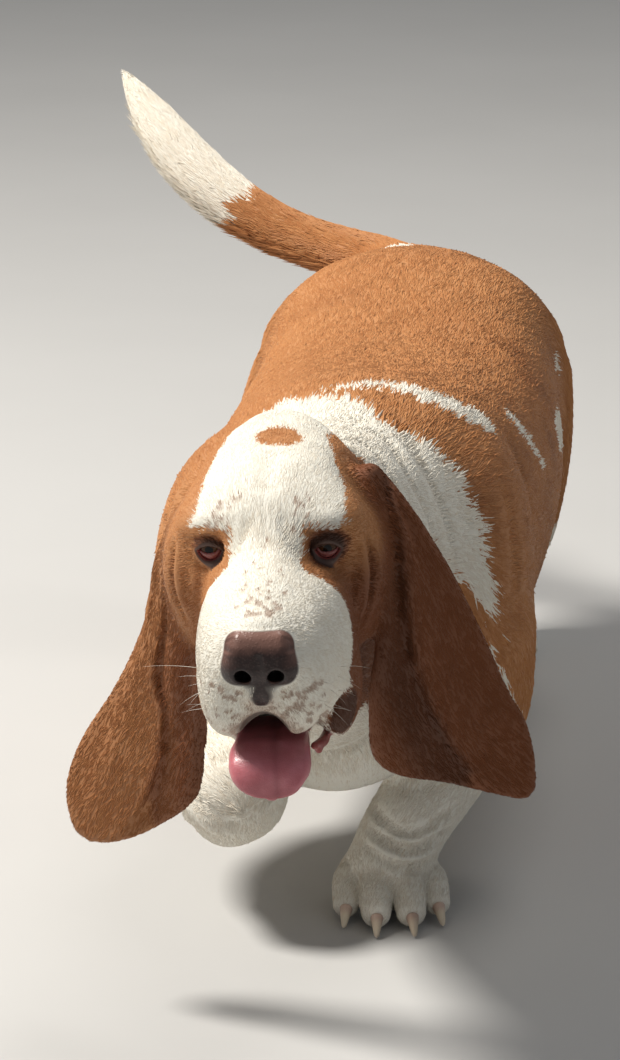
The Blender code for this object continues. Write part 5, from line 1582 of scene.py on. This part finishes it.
def coat_colours(nodes, links, place, sharp):
    """Red-brown and white from the markings_and_shade layer, whose darkness and ticking also carry painted shade,
    broken up by noise; sharp is how wide the border is.
    """
    mark = layer(nodes, "markings_and_shade")
    white, dark, tone = channels(nodes, links, mark.outputs["Color"])
    ticks_and_lip_shade = mark.outputs["Alpha"]
    broad = noise(nodes, links, place, 9.0, 3.0)
    fine = noise(nodes, links, place, 210.0, 2.0)
    tint = maths(nodes, links, "ADD", maths(nodes, links, "MULTIPLY", tone, 0.55), maths(nodes, links, "MULTIPLY", fine, 0.5))
    tint = maths(nodes, links, "ADD", tint, maths(nodes, links, "MULTIPLY", broad, 0.35))
    brown = mixed(nodes, links, ramped(nodes, links, tint, 0.35, 1.05), TAN, LIGHT_TAN)
    # the darkness channel: the coat's own darker brown and painted shade
    brown = mixed(nodes, links, ramped(nodes, links, dark, 0.05, 0.55), brown, DEEP)
    brown = mixed(nodes, links, ramped(nodes, links, dark, 0.50, 1.0), brown, DARK)
    pale = mixed(nodes, links, maths(nodes, links, "MULTIPLY", ramped(nodes, links, tint, 0.85, 0.30), 0.55), WHITE, CREAM)
    border = maths(nodes, links, "ADD", white, maths(nodes, links, "MULTIPLY", maths(nodes, links, "SUBTRACT", fine, 0.5), 0.10))
    coat = mixed(nodes, links, ramped(nodes, links, border, 0.5 - sharp, 0.5 + sharp), brown, pale)
    # ticking, and the lips' painted shade, in a dark brown
    coat = mixed(nodes, links, maths(nodes, links, "MULTIPLY", ticks_and_lip_shade, 0.62), coat, (0.27, 0.135, 0.075))
    return coat, fine, tint


def strands(nodes, links):
    """Fine hairs along each tuft, from its own across and along marks: a value round 0.5."""
    mark = layer(nodes, "strand")
    across, along, kind = channels(nodes, links, mark.outputs["Color"])
    place = nodes.new("ShaderNodeCombineXYZ")
    links.new(maths(nodes, links, "MULTIPLY", across, 7.0), place.inputs["X"])
    links.new(maths(nodes, links, "MULTIPLY", along, 1.2), place.inputs["Y"])
    links.new(maths(nodes, links, "MULTIPLY", kind, 91.0), place.inputs["Z"])
    return noise(nodes, links, place.outputs["Vector"], 1.0, 2.0), along


def coat_material():
    m, nodes, links, shader = material("coat_hair")
    place = nodes.new("ShaderNodeTexCoord").outputs["Object"]
    coat, fine, tint = coat_colours(nodes, links, place, 0.2)
    hairs, along = strands(nodes, links)
    lip = layer(nodes, "flesh").outputs["Alpha"]
    coat = mixed(nodes, links, lip, coat, (0.24, 0.16, 0.135))
    # painted shade: each tuft darker in streaks between its hairs and towards its root, where the tufts over it shade
    # it
    depth = maths(nodes, links, "MULTIPLY", ramped(nodes, links, hairs, 0.68, 0.30), 0.40)
    depth = maths(nodes, links, "ADD", depth, maths(nodes, links, "MULTIPLY", ramped(nodes, links, along, 0.35, 0.0), 0.15))
    links.new(mixed(nodes, links, depth, coat, painted_shade_copy(nodes, links, coat)), shader.inputs["Base Color"])
    rough = maths(nodes, links, "ADD", maths(nodes, links, "MULTIPLY", hairs, 0.16), 0.48)
    links.new(rough, shader.inputs["Roughness"])
    shader.inputs["Specular IOR Level"].default_value = 0.16
    bump = nodes.new("ShaderNodeBump")
    bump.inputs["Strength"].default_value = 0.45
    bump.inputs["Distance"].default_value = 0.00025
    links.new(hairs, bump.inputs["Height"])
    links.new(bump.outputs["Normal"], shader.inputs["Normal"])
    return m


# a darker copy of a colour, used for painted shade
def painted_shade_copy(nodes, links, colour):
    n = nodes.new("ShaderNodeMix")
    n.data_type = "RGBA"
    n.blend_type = "MULTIPLY"
    n.inputs["Factor"].default_value = 1.0
    links.new(colour, n.inputs["A"])
    n.inputs["B"].default_value = (0.62, 0.50, 0.42, 1)
    return n.outputs["Result"]


def skin_material():
    m, nodes, links, shader = material("skin_and_bare_parts")
    place = nodes.new("ShaderNodeTexCoord").outputs["Object"]
    coat, fine, tint = coat_colours(nodes, links, place, 0.06)
    flesh = layer(nodes, "flesh")
    nose, mouth, pink = channels(nodes, links, flesh.outputs["Color"])
    lip = flesh.outputs["Alpha"]
    cells = nodes.new("ShaderNodeTexVoronoi")
    links.new(place, cells.inputs["Vector"])
    cells.inputs["Scale"].default_value = 620.0
    pebble = ramped(nodes, links, cells.outputs["Distance"], 0.05, 0.62)
    leather = mixed(nodes, links, pebble, (0.048, 0.027, 0.024), (0.026, 0.014, 0.013))
    facing_up_painted_light, nostril, _ = channels(nodes, links, layer(nodes, "strand").outputs["Color"])
    # partly painted light: the nose leather paler where it faces upward, partly its own paler top
    top = maths(nodes, links, "ADD", facing_up_painted_light, maths(nodes, links, "MULTIPLY", maths(nodes, links, "SUBTRACT", noise(nodes, links, place, 60.0), 0.5), 0.5))
    leather = mixed(nodes, links, ramped(nodes, links, top, 0.02, 0.80), leather, (0.215, 0.112, 0.088))
    # painted shade: the nostrils near black, for the shade inside them
    leather = mixed(nodes, links, nostril, leather, (0.004, 0.003, 0.003))
    lips = mixed(nodes, links, noise(nodes, links, place, 300.0), (0.120, 0.066, 0.050), (0.050, 0.027, 0.022))
    red = mixed(nodes, links, noise(nodes, links, place, 260.0), (0.36, 0.085, 0.075), (0.22, 0.045, 0.042))
    # painted shade: the inside of the mouth near black, for the shade in the cavity
    inside = mixed(nodes, links, noise(nodes, links, place, 90.0), (0.022, 0.005, 0.005), (0.055, 0.012, 0.012))
    colour = mixed(nodes, links, lip, coat, lips)
    colour = mixed(nodes, links, pink, colour, red)
    colour = mixed(nodes, links, nose, colour, leather)
    colour = mixed(nodes, links, mouth, colour, inside)
    links.new(colour, shader.inputs["Base Color"])
    wet = maths(nodes, links, "MAXIMUM", maths(nodes, links, "MAXIMUM", nose, mouth), maths(nodes, links, "MAXIMUM", pink, lip))
    rough = maths(nodes, links, "SUBTRACT", 0.62, maths(nodes, links, "MULTIPLY", wet, 0.27))
    links.new(rough, shader.inputs["Roughness"])
    shader.inputs["Specular IOR Level"].default_value = 0.4
    stretch = nodes.new("ShaderNodeMapping")
    links.new(place, stretch.inputs["Vector"])
    stretch.inputs["Scale"].default_value = (1.0, 0.22, 0.6)
    streak = noise(nodes, links, stretch.outputs["Vector"], 900.0, 3.0)
    bump = nodes.new("ShaderNodeBump")
    bump.inputs["Strength"].default_value = 0.55
    bump.inputs["Distance"].default_value = 0.0009
    rise = maths(nodes, links, "MULTIPLY", streak, maths(nodes, links, "SUBTRACT", 1.0, wet))
    rise = maths(nodes, links, "ADD", rise, maths(nodes, links, "MULTIPLY", maths(nodes, links, "MULTIPLY", pebble, nose), -0.22))
    links.new(rise, bump.inputs["Height"])
    links.new(bump.outputs["Normal"], shader.inputs["Normal"])
    return m


def eye_material():
    m, nodes, links, shader = material("eye_iris_and_white")
    place = nodes.new("ShaderNodeTexCoord").outputs["Object"]
    mark = layer(nodes, "iris")
    away, turned, _ = channels(nodes, links, mark.outputs["Color"])
    angle = maths(nodes, links, "MULTIPLY", away, 90.0)
    spokes = nodes.new("ShaderNodeTexNoise")
    spokes.noise_dimensions = "2D"
    wheel = nodes.new("ShaderNodeCombineXYZ")
    links.new(maths(nodes, links, "MULTIPLY", turned, 60.0), wheel.inputs["X"])
    links.new(maths(nodes, links, "MULTIPLY", angle, 0.05), wheel.inputs["Y"])
    links.new(wheel.outputs["Vector"], spokes.inputs["Vector"])
    spokes.inputs["Scale"].default_value = 1.0
    iris = mixed(nodes, links, ramped(nodes, links, spokes.outputs["Fac"], 0.3, 0.7), (0.035, 0.013, 0.005), (0.095, 0.036, 0.012))
    iris = mixed(nodes, links, ramped(nodes, links, angle, 24.0, 34.0), iris, (0.018, 0.008, 0.005))
    ball = mixed(nodes, links, noise(nodes, links, place, 320.0), (0.40, 0.22, 0.18), (0.24, 0.09, 0.075))
    colour = mixed(nodes, links, ramped(nodes, links, angle, 14.0, 11.5), iris, (0.003, 0.003, 0.004))
    colour = mixed(nodes, links, ramped(nodes, links, angle, 33.5, 36.5), colour, ball)
    links.new(colour, shader.inputs["Base Color"])
    shader.inputs["Roughness"].default_value = 0.03
    shader.inputs["Specular IOR Level"].default_value = 0.17
    shader.inputs["Coat Weight"].default_value = 0.0
    shader.inputs["Coat Roughness"].default_value = 0.04
    return m


def haw_material():
    m, nodes, links, shader = material("haw_lining")
    place = nodes.new("ShaderNodeTexCoord").outputs["Object"]
    veins = nodes.new("ShaderNodeTexVoronoi")
    veins.feature = "DISTANCE_TO_EDGE"
    links.new(place, veins.inputs["Vector"])
    veins.inputs["Scale"].default_value = 420.0
    colour = mixed(nodes, links, noise(nodes, links, place, 240.0), (0.30, 0.095, 0.085), (0.19, 0.055, 0.052))
    colour = mixed(nodes, links, ramped(nodes, links, veins.outputs["Distance"], 0.10, 0.0), colour, (0.20, 0.025, 0.025))
    links.new(colour, shader.inputs["Base Color"])
    links.new(maths(nodes, links, "ADD", maths(nodes, links, "MULTIPLY", noise(nodes, links, place, 300.0), 0.2), 0.28), shader.inputs["Roughness"])
    shader.inputs["Coat Weight"].default_value = 0.3
    shader.inputs["Coat Roughness"].default_value = 0.2
    return m


def tongue_material():
    m, nodes, links, shader = material("tongue_wet")
    place = nodes.new("ShaderNodeTexCoord").outputs["Object"]
    mark = layer(nodes, "wet")
    front, groove_shade, low = channels(nodes, links, mark.outputs["Color"])
    broad = noise(nodes, links, place, 55.0)
    colour = mixed(nodes, links, ramped(nodes, links, broad, 0.35, 0.7), (0.46, 0.125, 0.145), (0.58, 0.190, 0.220))
    # painted shade in the tongue's middle groove
    colour = mixed(nodes, links, maths(nodes, links, "MULTIPLY", groove_shade, 0.4), colour, (0.27, 0.060, 0.072))
    colour = mixed(nodes, links, maths(nodes, links, "MULTIPLY", ramped(nodes, links, low, 0.35, 0.0), 0.45), colour, (0.32, 0.072, 0.084))
    links.new(colour, shader.inputs["Base Color"])
    cells = nodes.new("ShaderNodeTexVoronoi")
    links.new(place, cells.inputs["Vector"])
    cells.inputs["Scale"].default_value = 1100.0
    bump = nodes.new("ShaderNodeBump")
    bump.inputs["Strength"].default_value = 0.35
    bump.inputs["Distance"].default_value = 0.0004
    links.new(maths(nodes, links, "ADD", cells.outputs["Distance"], maths(nodes, links, "MULTIPLY", broad, 2.0)), bump.inputs["Height"])
    links.new(bump.outputs["Normal"], shader.inputs["Normal"])
    rough = maths(nodes, links, "ADD", maths(nodes, links, "MULTIPLY", broad, 0.25), 0.24)
    links.new(rough, shader.inputs["Roughness"])
    shader.inputs["Subsurface Weight"].default_value = 0.15
    shader.inputs["Subsurface Radius"].default_value = (0.004, 0.0012, 0.001)
    shader.inputs["Subsurface Scale"].default_value = 1.0
    shader.inputs["Coat Weight"].default_value = 0.18
    shader.inputs["Coat Roughness"].default_value = 0.18
    return m


def claw_material():
    m, nodes, links, shader = material("claw_horn")
    place = nodes.new("ShaderNodeTexCoord").outputs["Object"]
    mark = layer(nodes, "along")
    along, kind, _ = channels(nodes, links, mark.outputs["Color"])
    stretch = nodes.new("ShaderNodeMapping")
    links.new(place, stretch.inputs["Vector"])
    stretch.inputs["Scale"].default_value = (1.0, 0.12, 0.35)
    lines = noise(nodes, links, stretch.outputs["Vector"], 900.0, 3.0)
    horn = mixed(nodes, links, lines, (0.84, 0.74, 0.58), (0.68, 0.56, 0.40))
    quick = mixed(nodes, links, lines, (0.68, 0.50, 0.40), (0.56, 0.38, 0.30))
    colour = mixed(nodes, links, ramped(nodes, links, along, 0.62, 0.18), horn, quick)
    colour = mixed(nodes, links, maths(nodes, links, "MULTIPLY", ramped(nodes, links, kind, 0.6, 0.9), 0.35), colour, (0.16, 0.09, 0.06))
    links.new(colour, shader.inputs["Base Color"])
    links.new(maths(nodes, links, "ADD", maths(nodes, links, "MULTIPLY", lines, 0.2), 0.28), shader.inputs["Roughness"])
    bump = nodes.new("ShaderNodeBump")
    bump.inputs["Strength"].default_value = 0.3
    bump.inputs["Distance"].default_value = 0.0002
    links.new(lines, bump.inputs["Height"])
    links.new(bump.outputs["Normal"], shader.inputs["Normal"])
    shader.inputs["Coat Weight"].default_value = 0.25
    shader.inputs["Coat Roughness"].default_value = 0.25
    return m


def whisker_material():
    m, nodes, links, shader = material("whisker_hair")
    place = nodes.new("ShaderNodeTexCoord").outputs["Object"]
    links.new(mixed(nodes, links, noise(nodes, links, place, 40.0), (0.75, 0.70, 0.62), (0.52, 0.44, 0.36)), shader.inputs["Base Color"])
    links.new(maths(nodes, links, "ADD", maths(nodes, links, "MULTIPLY", noise(nodes, links, place, 200.0), 0.2), 0.3), shader.inputs["Roughness"])
    return m


def dress(obj, m):
    obj.data.materials.clear()
    obj.data.materials.append(m)


dress(skin, skin_material())
hair_look = coat_material()
for obj in coats:
    dress(obj, hair_look)
look = eye_material()
for obj in eyes:
    dress(obj, look)
look = haw_material()
for obj in haws:
    dress(obj, look)
look = claw_material()
for obj in claw_pieces:
    dress(obj, look)
dress(tongue, tongue_material())
dress(whiskers, whisker_material())

# ---- floor, light and camera ------------------------------------------------
floor = bpy.data.meshes.new("floor")
floor.from_pydata([(-9, -7, 0), (9, -7, 0), (9, 11, 0), (-9, 11, 0)], [], [(0, 1, 2, 3)])
floor = bpy.data.objects.new("floor", floor)
bpy.context.scene.collection.objects.link(floor)
m, nodes, links, shader = material("studio_floor")
place = nodes.new("ShaderNodeTexCoord").outputs["Object"]
links.new(mixed(nodes, links, noise(nodes, links, place, 3.0), (0.50, 0.495, 0.485), (0.54, 0.535, 0.525)), shader.inputs["Base Color"])
links.new(maths(nodes, links, "ADD", maths(nodes, links, "MULTIPLY", noise(nodes, links, place, 30.0), 0.1), 0.72), shader.inputs["Roughness"])
shader.inputs["Specular IOR Level"].default_value = 0.2
dress(floor, m)


def lamp(name, place, at, size, power, colour=(1, 1, 1)):
    data = bpy.data.lights.new(name, "AREA")
    data.shape = "DISK"
    data.size = size
    data.energy = power
    data.color = colour
    obj = bpy.data.objects.new(name, data)
    bpy.context.scene.collection.objects.link(obj)
    obj.location = place
    obj.rotation_euler = (Vector(at) - Vector(place)).to_track_quat("-Z", "Y").to_euler()
    return obj


lamp("key", (-1.95, -0.30, 3.15), (0.05, 0.0, 0.2), 0.85, 198, (1.0, 0.96, 0.895))
fill = lamp("fill", (2.4, -2.5, 1.2), (0.05, -0.2, 0.25), 2.2, 5, (0.90, 0.95, 1.0))
fill.visible_glossy = False
lamp("rim", (0.6, 1.1, 3.1), (0.05, 0.0, 0.3), 1.3, 24, (1.0, 0.975, 0.93))
world = bpy.data.worlds.new("studio")
world.use_nodes = True
world.node_tree.nodes["Background"].inputs["Color"].default_value = (0.82, 0.86, 0.92, 1)
world.node_tree.nodes["Background"].inputs["Strength"].default_value = 0.20
bpy.context.scene.world = world

camera = bpy.data.cameras.new("photo_view")
camera.sensor_width = 36.0
camera.sensor_fit = "AUTO"
camera.lens = 3800.0 / 1060.0 * 36.0
camera.clip_start, camera.clip_end = 0.05, 60.0
obj = bpy.data.objects.new("photo_view", camera)
bpy.context.scene.collection.objects.link(obj)
yaw, pitch = math.radians(9.0), math.radians(17.3)
right = Vector((math.cos(yaw), math.sin(yaw), 0))
ahead = Vector((-math.sin(yaw) * math.cos(pitch), math.cos(yaw) * math.cos(pitch), -math.sin(pitch)))
above = right.cross(ahead)
obj.matrix_world = Matrix(((right.x, above.x, -ahead.x, 0.4347), (right.y, above.y, -ahead.y, -2.5888),
                           (right.z, above.z, -ahead.z, 1.04), (0, 0, 0, 1)))
bpy.context.scene.camera = obj
bpy.context.scene.view_settings.view_transform = "Standard"
bpy.context.scene.view_settings.look = "None"
bpy.context.scene.view_settings.exposure = 0.0
